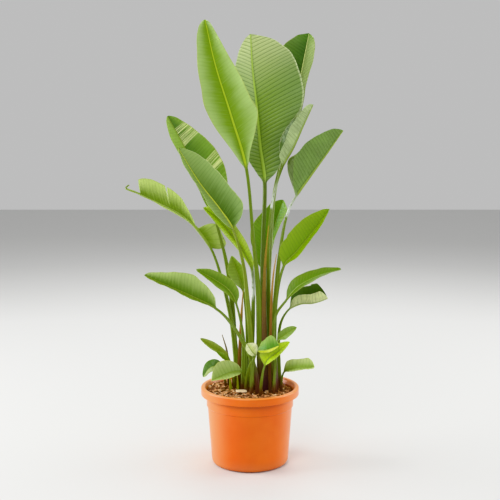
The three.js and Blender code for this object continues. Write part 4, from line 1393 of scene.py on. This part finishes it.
@dataclass
class WoodChip:
    """The pale split chip that lies on the mix, in metres."""

    SECTIONS = 26
    AROUND = 20
    SQUARENESS = 5
    END_TAPER = 0.35
    ROUGHNESS = 0.05
    END_SLANT = (0.12, 0.05)
    REST = 0.0025
    GRAIN_GRID = (40, 900)
    RELIEF = 0.0005

    at: tuple[float, float] = (-0.026, -0.053)
    length: float = 0.033
    width: float = 0.011
    thickness: float = 0.0045
    turn: float = 0.12
    roll: float = 0.55
    pale: Colour = shade(255, 240, 208)
    grain: Colour = shade(238, 208, 164)

    def dress(self) -> bpy.types.Material:
        """Makes raw wood with its grain along the chip.

        Returns:
            The material.
        """
        board = Board("finish_wood_chip")
        x, y, z = board.parts(board.object_place())
        along, across = self.GRAIN_GRID
        lines = board.noise(board.place(x * along, y * across, z * across), 1.0, 3.0)
        return board.surface({
            "Base Color": board.mix(board.step(lines, 0.35, 0.7), self.grain, self.pale),
            "Roughness": 0.72 + (lines - 0.5) * 0.2, "Normal": board.bump(lines, self.RELIEF),
        })

    def build(self) -> bpy.types.Object:
        """Makes the chip: a slab with rounded edges, uneven faces and slanted, broken ends.

        Its section is a curve whose fifth powers of width and thickness add up to one.

        Returns:
            The piece.
        """
        rng = np.random.default_rng(5)
        s = np.linspace(-1, 1, self.SECTIONS)[:, None]
        angle = math.pi - np.linspace(0, 2 * math.pi, self.AROUND, endpoint=False)
        power = self.SQUARENESS
        square = 1 / (np.abs(np.cos(angle)) ** power + np.abs(np.sin(angle)) ** power) ** (1 / power)
        taper = 1 - self.END_TAPER * np.abs(s) ** 5
        wobble = 1 + self.ROUGHNESS * rng.standard_normal((self.SECTIONS, self.AROUND))
        across = self.width / 2 * square * np.cos(angle) * taper * wobble
        level = self.thickness / 2 * square * np.sin(angle) * taper * wobble
        along = s * self.length / 2 + self.END_SLANT[0] * across + self.END_SLANT[1] * level
        side = -across * math.cos(self.roll) - level * math.sin(self.roll)
        height = level * math.cos(self.roll) - across * math.sin(self.roll) + SOIL_SLOPE_X * along
        cosine, sine = math.cos(self.turn), math.sin(self.turn)
        x = self.at[0] + cosine * along - sine * side
        y = self.at[1] + sine * along + cosine * side
        ground = float(soil_height(np.array(self.at[0]), np.array(self.at[1])))
        rings = np.stack([x, y, ground + self.thickness / 2 + self.REST + height], -1)
        vertices, faces = skin(rings)
        return make_piece("pale_chip", vertices, faces, self.dress(), ("wood_chip",))


@dataclass(frozen=True)
class Lamp:
    """A square lamp that looks at the middle of the plant: place and side in metres, power in watts."""

    AIM_HEIGHT = 0.6

    name: str
    at: Point
    power: float
    size: float

    def hang(self) -> None:
        """Puts the lamp in the scene."""
        light = bpy.data.lights.new(self.name, "AREA")
        light.energy = self.power
        light.size = self.size
        lamp = bpy.data.objects.new(self.name, light)
        lamp.location = self.at
        dx, dy, dz = self.at[0], self.at[1], self.at[2] - self.AIM_HEIGHT
        lamp.rotation_euler = (math.atan2(math.hypot(dx, dy), dz), 0.0, math.atan2(dx, -dy))
        bpy.context.scene.collection.objects.link(lamp)


@dataclass
class Studio:
    """A pale floor, soft lights and a camera at the photograph's viewing place."""

    FLOOR_DROP = 0.0004
    SENSOR_WIDTH = 36.0

    lamps: tuple[Lamp, ...] = (
        Lamp("left_light", (-2.9, 0.1, 1.5), 84.0, 2.2),
        Lamp("right_light", (3.0, 0.5, 1.3), 56.0, 2.2),
        Lamp("front_light", (-0.9, -2.9, 3.0), 54.0, 1.6),
        Lamp("back_light", (0.3, 2.4, 2.8), 40.0, 1.8),
    )
    floor_size: float = 14.0
    floor: Colour = (0.7, 0.7, 0.69)
    air: float = 0.55
    eye: Point = (0.0, -3.270, 1.150)
    pitch: float = 8.5
    focal_pixels: float = 1096.0
    frame_pixels: float = 500.0

    def build(self) -> None:
        """Makes the floor, the lights, the air and the camera."""
        self.lay_floor()
        for lamp in self.lamps:
            lamp.hang()
        self.fill_air()
        self.set_camera()

    def lay_floor(self) -> None:
        """Makes the floor, which isn't part of the plant and lies a hair under it."""
        half = self.floor_size / 2
        mesh = bpy.data.meshes.new("studio_floor")
        corners = [(x * half, y * half, -self.FLOOR_DROP) for x, y in ((-1, -1), (1, -1), (1, 1), (-1, 1))]
        mesh.from_pydata(corners, [], [[0, 1, 2, 3]])
        board = Board("finish_floor")
        mesh.materials.append(board.surface({"Base Color": self.floor, "Roughness": 0.9}))
        ground = bpy.data.objects.new("studio_floor", mesh)
        bpy.context.scene.collection.objects.link(ground)

    def fill_air(self) -> None:
        """Gives the world an even white light and the picture its colour handling."""
        world = bpy.data.worlds.new("studio_air")
        world.use_nodes = True
        sky = world.node_tree.nodes["Background"]
        sky.inputs["Color"].default_value = (1.0, 1.0, 1.0, 1.0)
        sky.inputs["Strength"].default_value = self.air
        bpy.context.scene.world = world
        bpy.context.scene.view_settings.view_transform = "Khronos PBR Neutral"

    def set_camera(self) -> None:
        """Puts up the camera. Its focal length and its frame are both measured in the photograph's pixels."""
        lens = bpy.data.cameras.new("camera")
        lens.sensor_width = self.SENSOR_WIDTH
        lens.lens = lens.sensor_width * self.focal_pixels / self.frame_pixels
        lens.dof.use_dof = False
        camera = bpy.data.objects.new("camera", lens)
        camera.location = self.eye
        camera.rotation_euler = (math.radians(90.0 - self.pitch), 0.0, 0.0)
        bpy.context.scene.collection.objects.link(camera)
        bpy.context.scene.camera = camera


# Most half widths below came out of a fitting program, and some of those were then changed.
LEAVES = [
    Leaf(
        name="leaf_tall_left", neck=5, stalk=(7, 4.6), clasp=0.9,
        path=[(38, 4, 203), (34, 3, 290), (30, 0, 385), (25, -10, 540), (10, -22, 695),
              (-10, -36, 905), (-55, -58, 1065), (-100, -62, 1210), (-130, -48, 1340)],
        left=(5, 33, 59, 72, 64, 57, 46, 36, 16),
        right=(5, 23, 59, 84, 75, 69, 64, 56, 47, 38, 29, 20, 9),
        fold=20, curl=6, facing=((0, -1, 0.1), (0.05, -1, 0.2)), waves=2.5, waving=4,
        tone=Tone.BRIGHT, ribbing=0.2,
        finish=replace(BRIGHT, inner=shade(120, 158, 10), edge_and_sheen=shade(168, 196, 116), valley_shade=0.14,
                       midrib=shade(184, 206, 60), stalk=shade(88, 116, 28), foot=PURPLE, foot_height=0.1),
    ),
    Leaf(
        name="leaf_tall_centre", neck=5, stalk=(8, 6.2), clasp=0.7,
        path=[(52, 32, 203), (48, 30, 290), (45, 30, 375), (40, 35, 530), (40, 45, 685),
              (45, 55, 855), (30, 60, 975), (19, 60, 1095), (7, 60, 1200), (1, 44, 1303)],
        left=(5, 53, 48, 52, 65, 71, 62, 42, 10),
        right=(5, 55, 60, 78, 132, 145, 145, 139, 129, 114, 88, 62, 40),
        fold=20, curl=-4, facing=((0.36, -0.93, 0.05), (0.36, -0.9, 0.25)), waves=3, waving=2,
        ease=24, tone=Tone.FRESH, ribbing=0.75, pitch=11.5,
        finish=replace(FRESH, inner=shade(130, 162, 58), edge_and_sheen=shade(124, 154, 80),
                       margin_and_sheen=shade(216, 226, 176), left=shade(150, 180, 92),
                       top_highlight=shade(204, 216, 154), top_highlight_rise=(0.86, 1.06), valley_shade=0.85,
                       midrib=shade(180, 210, 92), stalk=shade(74, 94, 28), foot=PURPLE,
                       foot_height=0.08),
    ),
    Leaf(
        name="leaf_back_right", neck=6, stalk=(6.5, 5.2), clasp=0.5,
        path=[(60, 60, 203), (56, 60, 290), (54, 60, 370), (56, 70, 525), (63, 80, 680),
              (77, 95, 835), (110, 120, 970), (135, 134, 1085), (160, 142, 1200), (181, 145, 1310)],
        left=(5, 42, 62, 72, 74, 77, 72, 48, 18), right=(5, 34, 54, 54, 53, 61, 60, 48, 22),
        fold=33, curl=4, facing=((-0.5, -0.85, 0.1), (-0.52, -0.83, 0.2)), waves=2, waving=3, ease=24,
        tone=Tone.DEEP,
        finish=replace(DEEP, inner=shade(66, 106, 34), edge_and_sheen=shade(106, 140, 62),
                       right=shade(150, 166, 104), top_highlight=shade(88, 140, 16), top_highlight_rise=(1.02, 1.12),
                       midrib=shade(212, 222, 150), valley_shade=0.5, foot=PURPLE, foot_height=0.1),
    ),
    Leaf(
        name="leaf_furled_right", neck=6, stalk=(6, 4),
        path=[(66, 43, 203), (63, 42, 290), (60, 41, 375), (57, 40, 530), (56, 43, 685),
              (68, 47, 805), (97, 53, 905), (130, 57, 965), (160, 63, 1030), (190, 63, 1095)],
        left=(4, 41, 62, 64, 59, 45, 32, 22, 12), right=(4, 27, 33, 34, 33, 31, 28, 22, 14),
        fold=58, curl=12, facing=((-0.85, 0.3, 0.4), (-0.85, 0.3, 0.4)), waves=2, waving=2,
        tone=Tone.PALE,
        finish=replace(PALE, under=shade(202, 220, 162), inner=shade(50, 78, 22), edge_and_sheen=shade(104, 134, 62),
                       streaks=0.6, bloom_and_highlight=(0.55, 0.56), foot=PURPLE, foot_height=0.1),
    ),
    Leaf(
        name="leaf_right_high", neck=6, stalk=(6.5, 4.2), clasp=0.6,
        path=[(76, 24, 203), (72, 22, 290), (70, 20, 380), (80, 15, 535), (90, 10, 645),
              (108, 8, 755), (135, 0, 820), (180, 0, 885), (230, -5, 955), (276, 0, 1020)],
        left=(14, 102, 102, 88, 76, 64, 50, 34, 18), right=(4, 46, 82, 80, 75, 63, 49, 34, 22),
        fold=48, curl=10, facing=((-0.9, 0.1, 0.4), (-0.72, 0.4, 0.55)), waves=2, waving=1,
        slant=(0.4, 0.42), ease=12, tone=Tone.PALE, ribbing=0.5,
        finish=replace(PALE, under=shade(122, 156, 74), inner=shade(84, 104, 56), edge_and_sheen=shade(120, 138, 84),
                       valley_shade=0.5, bloom_and_highlight=(0.53, 0.54)),
    ),
    Leaf(
        name="leaf_right_middle", neck=4, stalk=(6, 4),
        path=[(82, 3, 203), (78, 2, 290), (75, 0, 385), (80, -10, 510), (100, -16, 610),
              (140, -25, 660), (190, -35, 725), (235, -45, 790)],
        left=(4, 46, 53, 54, 49, 41, 28, 9), right=(4, 34, 43, 44, 40, 34, 23, 9),
        fold=38, curl=6, facing=((-0.5, -0.75, 0.42), (-0.45, -0.75, 0.48)), waves=2, waving=1.5,
        tone=Tone.FRESH,
        finish=replace(FRESH, inner=shade(120, 158, 4), edge_and_sheen=shade(136, 170, 30), foot=PURPLE,
                       foot_height=0.08),
    ),
    Leaf(
        name="leaf_right_low", neck=4, stalk=(5.5, 3.8),
        path=[(78, -22, 203), (74, -18, 290), (70, -16, 355), (75, -20, 455), (108, -25, 510),
              (145, -36, 556), (205, -50, 592), (270, -60, 612)],
        left=(4, 27, 35, 35, 32, 27, 18, 5), right=(4, 29, 36, 36, 33, 27, 18, 5),
        fold=14, curl=4, facing=((-0.3, -0.4, 0.86), (0.05, -0.3, 0.95)), waves=1.2, waving=2,
        tone=Tone.FRESH, finish=replace(FRESH, edge_and_sheen=shade(116, 146, 40), foot=PURPLE, foot_height=0.08),
    ),
    Leaf(
        name="leaf_right_cupped", neck=4, stalk=(5, 3.4),
        path=[(95, 44, 203), (90, 42, 290), (88, 40, 360), (94, 38, 425), (118, 35, 470),
              (155, 33, 490), (188, 31, 492), (214, 30, 498), (238, 30, 507)],
        left=(6, 42, 54, 61, 60, 56, 44), right=(6, 36, 42, 43, 43, 44, 34),
        fold=42, curl=30, facing=((-0.3, -0.1, 0.95), (-0.2, -0.05, 0.97)), waves=1.5, waving=0.5,
        slant=(0.04, 0.1), ease=20, tone=Tone.PALE,
        finish=replace(PALE, inner=shade(64, 98, 20), edge_and_sheen=shade(80, 116, 30), under=shade(228, 238, 172)),
    ),
    Leaf(
        name="leaf_left_high", neck=5, stalk=(6.5, 4.4),
        path=[(8, -4, 203), (6, -5, 290), (3, -7, 385), (-7, -12, 500), (-20, -20, 620),
              (-50, -30, 725), (-90, -38, 790), (-150, -46, 870), (-210, -56, 970)],
        left=(5, 50, 56, 54, 40, 35, 32, 25, 6), right=(5, 62, 68, 65, 65, 61, 55, 38, 9),
        fold=36, curl=4, facing=((0.5, -0.8, 0.34), (0.48, -0.8, 0.36)), waves=2, waving=3,
        clasp=0.8, tone=Tone.FRESH, ribbing=0.3,
        finish=replace(FRESH, inner=shade(76, 116, 6), edge_and_sheen=shade(150, 182, 104), left=shade(152, 176, 108),
                       top_highlight=shade(152, 180, 100), top_highlight_rise=(0.52, 0.74),
                       midrib=shade(212, 222, 96), margin_and_sheen=shade(206, 220, 150)),
    ),
    Leaf(
        name="leaf_left_back", neck=6, stalk=(5.5, 3.8),
        path=[(-32, 62, 203), (-40, 62, 280), (-49, 62, 375), (-56, 60, 490), (-71, 54, 605),
              (-90, 50, 690), (-108, 52, 755), (-140, 58, 850), (-190, 70, 950), (-250, 75, 1060)],
        left=(4, 22, 26, 28, 32, 36, 30, 10), right=(4, 58, 80, 82, 75, 61, 41, 12),
        fold=24, curl=6, facing=((0.3, -0.9, 0.2), (0.3, -0.9, 0.3)), waves=2, waving=3,
        clasp=0.9, tone=Tone.DEEP, ribbing=0.55,
        finish=replace(DEEP, inner=shade(82, 124, 28), edge_and_sheen=shade(126, 162, 62),
                       left=shade(176, 208, 108), stripes=((10.6, 14.8), (22.6, 28.4)), foot=PURPLE,
                       foot_height=0.07),
    ),
    Leaf(
        name="leaf_left_torn", neck=5, stalk=(5.5, 3.8),
        path=[(-42, 44, 203), (-42, 43, 290), (-48, 44, 370), (-62, 46, 460), (-90, 50, 575),
              (-118, 46, 656), (-161, 42, 720), (-207, 36, 762), (-255, 29, 790), (-310, 19, 818),
              (-342, 14, 833), (-371, 9, 846), (-362, 7, 857)],
        left=(5, 8, 7, 7, 8, 7, 5, 6, 7, 6, 4, 3, 2),
        right=(38, 46, 54, 58, 3, 8, 23, 37, 51, 61, 68, 68, 66, 66,
               66, 62, 57, 52, 47, 45, 44, 42, 40, 36, 30, 20, 10, 5, 2),
        right_tears=(Tear(0.39, 0.8, 0.018),), slant=(-2.2, 0.6), torn_off=0.65,
        fold=5, curl=4, facing=((0, -0.6, 0.8), (0, -0.6, 0.8)), waves=2, waving=2,
        clasp=0.9,
        tone=Tone.FRESH, finish=replace(BRIGHT, inner=shade(108, 140, 14), edge_and_sheen=shade(200, 220, 128)),
    ),
    Leaf(
        name="leaf_left_strap", neck=4, stalk=(6.6, 5), clasp=0.6,
        path=[(-2, 14, 203), (1, 12, 290), (5, 10, 370), (9.5, 7, 475), (8, 7, 590),
              (-20, 6, 655), (-60, 5, 710), (-100, 0, 758), (-140, 0, 790)],
        left=(3.5, 16, 23, 27, 28, 22, 5), right=(3.5, 18, 26, 30, 31, 24, 6),
        fold=34, curl=4, facing=((0.3, -0.85, 0.3), (0.3, -0.8, 0.5)), waves=1.5, waving=2,
        tone=Tone.FRESH,
        finish=replace(BRIGHT, inner=shade(164, 200, 22), edge_and_sheen=shade(188, 212, 92), bloom_and_highlight=(0.27, 0.3)),
    ),
    Leaf(
        name="leaf_left_low", neck=5, stalk=(5.5, 4),
        path=[(25, -40, 203), (20, -40, 275), (3, -43, 338), (-27, -50, 400), (-63, -55, 455),
              (-100, -60, 492), (-165, -75, 530), (-235, -90, 565), (-310, -100, 601)],
        left=(5, 24, 32, 34, 32, 28, 22, 13, 4), right=(5, 37, 54, 60, 52, 45, 35, 23, 6),
        fold=38, curl=6, facing=((0.3, -0.67, 0.68), (0.3, -0.67, 0.68)), waves=2, waving=3,
        clasp=0.6, tone=Tone.FRESH,
        finish=replace(FRESH, edge_and_sheen=shade(182, 206, 120), left=shade(124, 150, 40), foot=PURPLE,
                       foot_height=0.08),
    ),
    Leaf(
        name="leaf_left_narrow", neck=3, stalk=(4.6, 3.2),
        path=[(-22, -14, 203), (-20, -12, 300), (-21, -16, 400), (-40, -22, 495),
              (-62, -30, 542), (-105, -40, 577), (-160, -50, 610)],
        left=(3, 16, 22, 24, 20, 14, 4), right=(3, 21, 28, 28, 24, 18, 4),
        fold=24, curl=6, facing=((0.2, -0.8, 0.5), (0.2, -0.8, 0.5)), waves=1.5, waving=2,
        clasp=0.9, tone=Tone.FRESH, finish=FRESH,
    ),
    Leaf(
        name="leaf_left_inner", neck=3, stalk=(4.6, 3.2),
        path=[(-6, 36, 203), (-6, 33, 345), (-10, 31, 440), (-20, 30, 525), (-32, 26, 570),
              (-45, 24, 605), (-56, 20, 640)],
        left=(3, 23, 32, 30, 20, 4), right=(3, 17, 22, 22, 14, 4),
        fold=26, curl=6, facing=((0.1, -0.95, 0.2), (0.1, -0.95, 0.2)), waves=1.5, waving=2,
        clasp=1.0,
        tone=Tone.PALE, finish=replace(BRIGHT, inner=shade(118, 152, 14), left=shade(152, 176, 84)),
    ),
    Leaf(
        name="leaf_centre_back", neck=4, stalk=(5.5, 3.8),
        path=[(30, 84, 203), (28, 85, 290), (26, 87, 370), (35, 100, 490), (40, 106, 575),
              (56, 116, 648), (80, 124, 730), (103, 126, 800)],
        left=(4, 30, 60, 68, 58, 45, 35, 20), right=(4, 16, 18, 18, 22, 26, 30, 14),
        fold=22, curl=6, facing=((-0.42, -0.9, 0.12), (-0.35, -0.92, 0.16)), waves=2, waving=3,
        tone=Tone.BRIGHT,
        finish=replace(BRIGHT, inner=shade(104, 156, 10), edge_and_sheen=shade(128, 166, 56), foot=PURPLE,
                       foot_height=0.08),
    ),
    Leaf(
        name="leaf_small_right", neck=2, stalk=(3.6, 2.6),
        path=[(70, -52, 203), (75, -50, 300), (82, -46, 384), (104, -46, 408), (140, -50, 434)],
        left=(2.5, 16, 18, 15, 7), right=(2.5, 14, 16, 13, 5),
        fold=20, curl=10, facing=((-0.3, -0.8, 0.5), (-0.3, -0.8, 0.5)), waves=1, waving=1,
        tone=Tone.FRESH, finish=replace(PALE, inner=shade(128, 158, 60)),
    ),
    Leaf(
        name="leaf_low_dark", neck=3, stalk=(3.8, 2.8),
        path=[(4, -58, 203), (6, -60, 295), (12, -66, 345), (20, -75, 367), (50, -97, 376),
              (86, -107, 392)],
        left=(4, 26, 34, 38, 32), right=(3, 10, 11, 10, 5), ease=20,
        slant=(0.04, 0.15),
        fold=14, curl=16, facing=((0, -0.8, 0.55), (0, -0.8, 0.55)), waves=1, waving=1.5,
        clasp=0.8, tone=Tone.DEEP,
        finish=replace(FRESH, inner=shade(84, 142, 28), edge_and_sheen=shade(150, 182, 90), right=shade(214, 220, 60)),
    ),
    Leaf(
        name="leaf_low_bright", neck=3, stalk=(3.8, 2.8),
        path=[(30, -62, 203), (33, -68, 255), (37, -73, 292), (43, -76, 320), (56, -81, 345),
              (82, -90, 368), (118, -98, 400)],
        left=(4, 29, 33, 28, 18, 6), right=(3, 16, 20, 18, 13, 6),
        fold=22, curl=10, facing=((-0.3, -0.8, 0.5), (-0.3, -0.8, 0.5)), waves=1, waving=1.5,
        tone=Tone.BRIGHT, finish=replace(BRIGHT, inner=shade(182, 214, 12), edge_and_sheen=shade(186, 212, 70)),
    ),
    Leaf(
        name="leaf_low_curled", neck=3, stalk=(2.8, 2),
        path=[(-14, -32, 203), (-12, -53, 270), (-1, -75, 325), (16, -88, 353), (5, -98, 372),
              (-10, -102, 397)],
        left=(3, 15, 20, 18, 9), right=(3, 24, 26, 20, 9),
        fold=12, curl=40, facing=((0.1, -0.85, 0.4), (-0.1, -0.6, 0.7)), waves=1, waving=1,
        tone=Tone.BRIGHT,
        finish=replace(BRIGHT, inner=shade(206, 220, 132), edge_and_sheen=shade(236, 240, 200),
                       left=shade(236, 240, 196)),
    ),
    Leaf(
        name="leaf_low_right", neck=2, stalk=(3.8, 2.8),
        path=[(97, -14, 203), (96, -13, 240), (102, -8, 281), (128, -14, 296), (162, -20, 302),
              (196, -22, 305)],
        left=(8, 28, 30, 30, 28, 20), right=(3, 14, 18, 20, 19, 16), ease=20,
        slant=(0.04, 0.2),
        fold=18, curl=14, facing=((-0.3, -0.5, 0.8), (0.2, -0.5, 0.84)), waves=1.5, waving=2,
        tone=Tone.DEEP, finish=replace(FRESH, inner=shade(148, 180, 64), edge_and_sheen=shade(198, 214, 132)),
    ),
    Leaf(
        name="leaf_small_spear", neck=2, stalk=(3.8, 2.6),
        path=[(-54, 22, 203), (-52, 24, 252), (-62, 24, 312), (-90, 20, 340), (-120, 15, 362),
              (-152, 10, 385)],
        left=(2.5, 12, 15, 15, 11, 3), right=(2.5, 12, 15, 15, 11, 3),
        fold=24, curl=6, facing=((0.2, -0.7, 0.6), (0.2, -0.7, 0.65)), waves=1, waving=1,
        tone=Tone.FRESH, finish=replace(BRIGHT, inner=shade(142, 162, 36), edge_and_sheen=shade(168, 186, 88)),
    ),
    Leaf(
        name="leaf_small_folded", neck=2, stalk=(3, 2.2),
        path=[(-48, -2, 203), (-47, -2, 255), (-62, -6, 306), (-82, -11, 332), (-102, -14, 350)],
        left=(2, 9, 11, 8, 3), right=(2, 10, 12, 8, 3),
        fold=34, curl=6, facing=((0.3, -0.7, 0.6), (0.3, -0.7, 0.6)), waves=1, waving=1,
        tone=Tone.BRIGHT, finish=BRIGHT,
    ),
    Leaf(
        name="leaf_low_pale", neck=2, stalk=(4, 3),
        path=[(-4, -30, 203), (-6, -32, 245), (-22, -42, 290), (-50, -57, 298), (-82, -70, 290),
              (-116, -80, 278)],
        left=(3, 19, 24, 22, 14, 4), right=(3, 26, 40, 42, 30, 4), slant=(0.04, 0.15),
        fold=26, curl=6, facing=((0.1, -0.72, 0.68), (0.05, -0.75, 0.66)), waves=1.5, waving=2,
        tone=Tone.PALE,
        finish=replace(PALE, inner=shade(148, 172, 84), edge_and_sheen=shade(176, 194, 118),
                       margin_and_sheen=shade(220, 214, 90)),
    ),
    Leaf(
        name="leaf_low_left_dark", neck=2, stalk=(3.4, 2.6),
        path=[(-74, 22, 203), (-76, 18, 245), (-84, 12, 280), (-106, 8, 298), (-126, 2, 292),
              (-143, -5, 268)],
        left=(2.5, 14, 16, 14, 9, 4), right=(2.5, 19, 24, 22, 14, 4),
        fold=8, curl=-10, facing=((-0.2, -0.7, 0.7), (-0.5, -0.8, 0.3)), waves=1, waving=1,
        slant=(0.04, 0.2),
        tone=Tone.DEEP, finish=replace(DEEP, left=shade(176, 192, 124), right=shade(82, 122, 34)),
    ),
]

BROWN_SHEATH = DryFinish(foot=shade(92, 70, 72), middle=shade(134, 108, 66), tip=shade(196, 168, 74))
ORANGE_SHEATH = DryFinish(foot=shade(92, 66, 52), middle=shade(150, 108, 56), tip=shade(206, 168, 92))
CUT_STALK = DryFinish(foot=shade(90, 70, 48), middle=shade(140, 126, 98), tip=shade(170, 158, 126))
SHOOT = DryFinish(foot=shade(168, 176, 60), middle=shade(176, 196, 52), tip=shade(206, 216, 120),
                  roughness=0.45)

SPEARS = [
    Spear("sheath_centre", [(48, -16, 203), (46, -14, 300), (43, -12, 400), (42, -8, 510), (46, 0, 625),
                            (56, 5, 735)], (9, 8.5, 8, 6.6, 3.8, 0.8), 0.6, BROWN_SHEATH, "dry_sheath"),
    Spear("sheath_right", [(62, -36, 203), (60, -35, 300), (62, -34, 400), (64, -28, 500),
                           (70, -17, 585), (80, -10, 650)], (5, 4.6, 4.2, 4, 2.6, 0.8), 0.6,
          ORANGE_SHEATH, "dry_sheath"),
    Spear("sheath_left", [(-34, 6, 203), (-33, 3, 300), (-30, 2, 380), (-26, 5, 460), (-21, 9, 535)],
          (6.5, 6, 5, 4, 0.8), 0.6, ORANGE_SHEATH, "dry_sheath"),
    Spear("dry_stalk", [(-66, 46, 203), (-67, 44, 280), (-72, 40, 340), (-86, 36, 392)],
          (4.5, 4, 3, 1.2), 0.8, CUT_STALK, "dry_sheath"),
    Spear("sprout_left", [(-57, -15, 203), (-59, -16, 240), (-62, -18, 278)], (4, 4.5, 0.8), 0.7, SHOOT,
          "sprout", 0.03),
    Spear("sprout_inner", [(-36, -20, 203), (-37, -22, 245), (-39, -24, 284)], (3.4, 3.8, 0.8), 0.7,
          SHOOT, "sprout", 0.03),
]


def main() -> None:
    """Builds the dressed plant round the frame and reports each piece."""
    logging.basicConfig(level=logging.INFO, format="%(name)s %(message)s")
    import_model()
    Studio().build()
    Pot().build()
    stems = [(*leaf.path[0][:2], leaf.stalk[0]) for leaf in LEAVES]
    stems += [(*spear.path[0][:2], spear.radii[0]) for spear in SPEARS]
    PottingMix(feet=np.array(stems) * MM).build()
    WoodChip().build()
    for index, leaf in enumerate(LEAVES):
        leaf.seed = 1.0 + 2.3 * index
        leaf.build()
    for spear in SPEARS:
        spear.build()
    bpy.context.view_layer.update()


if __name__ == "__main__":
    main()
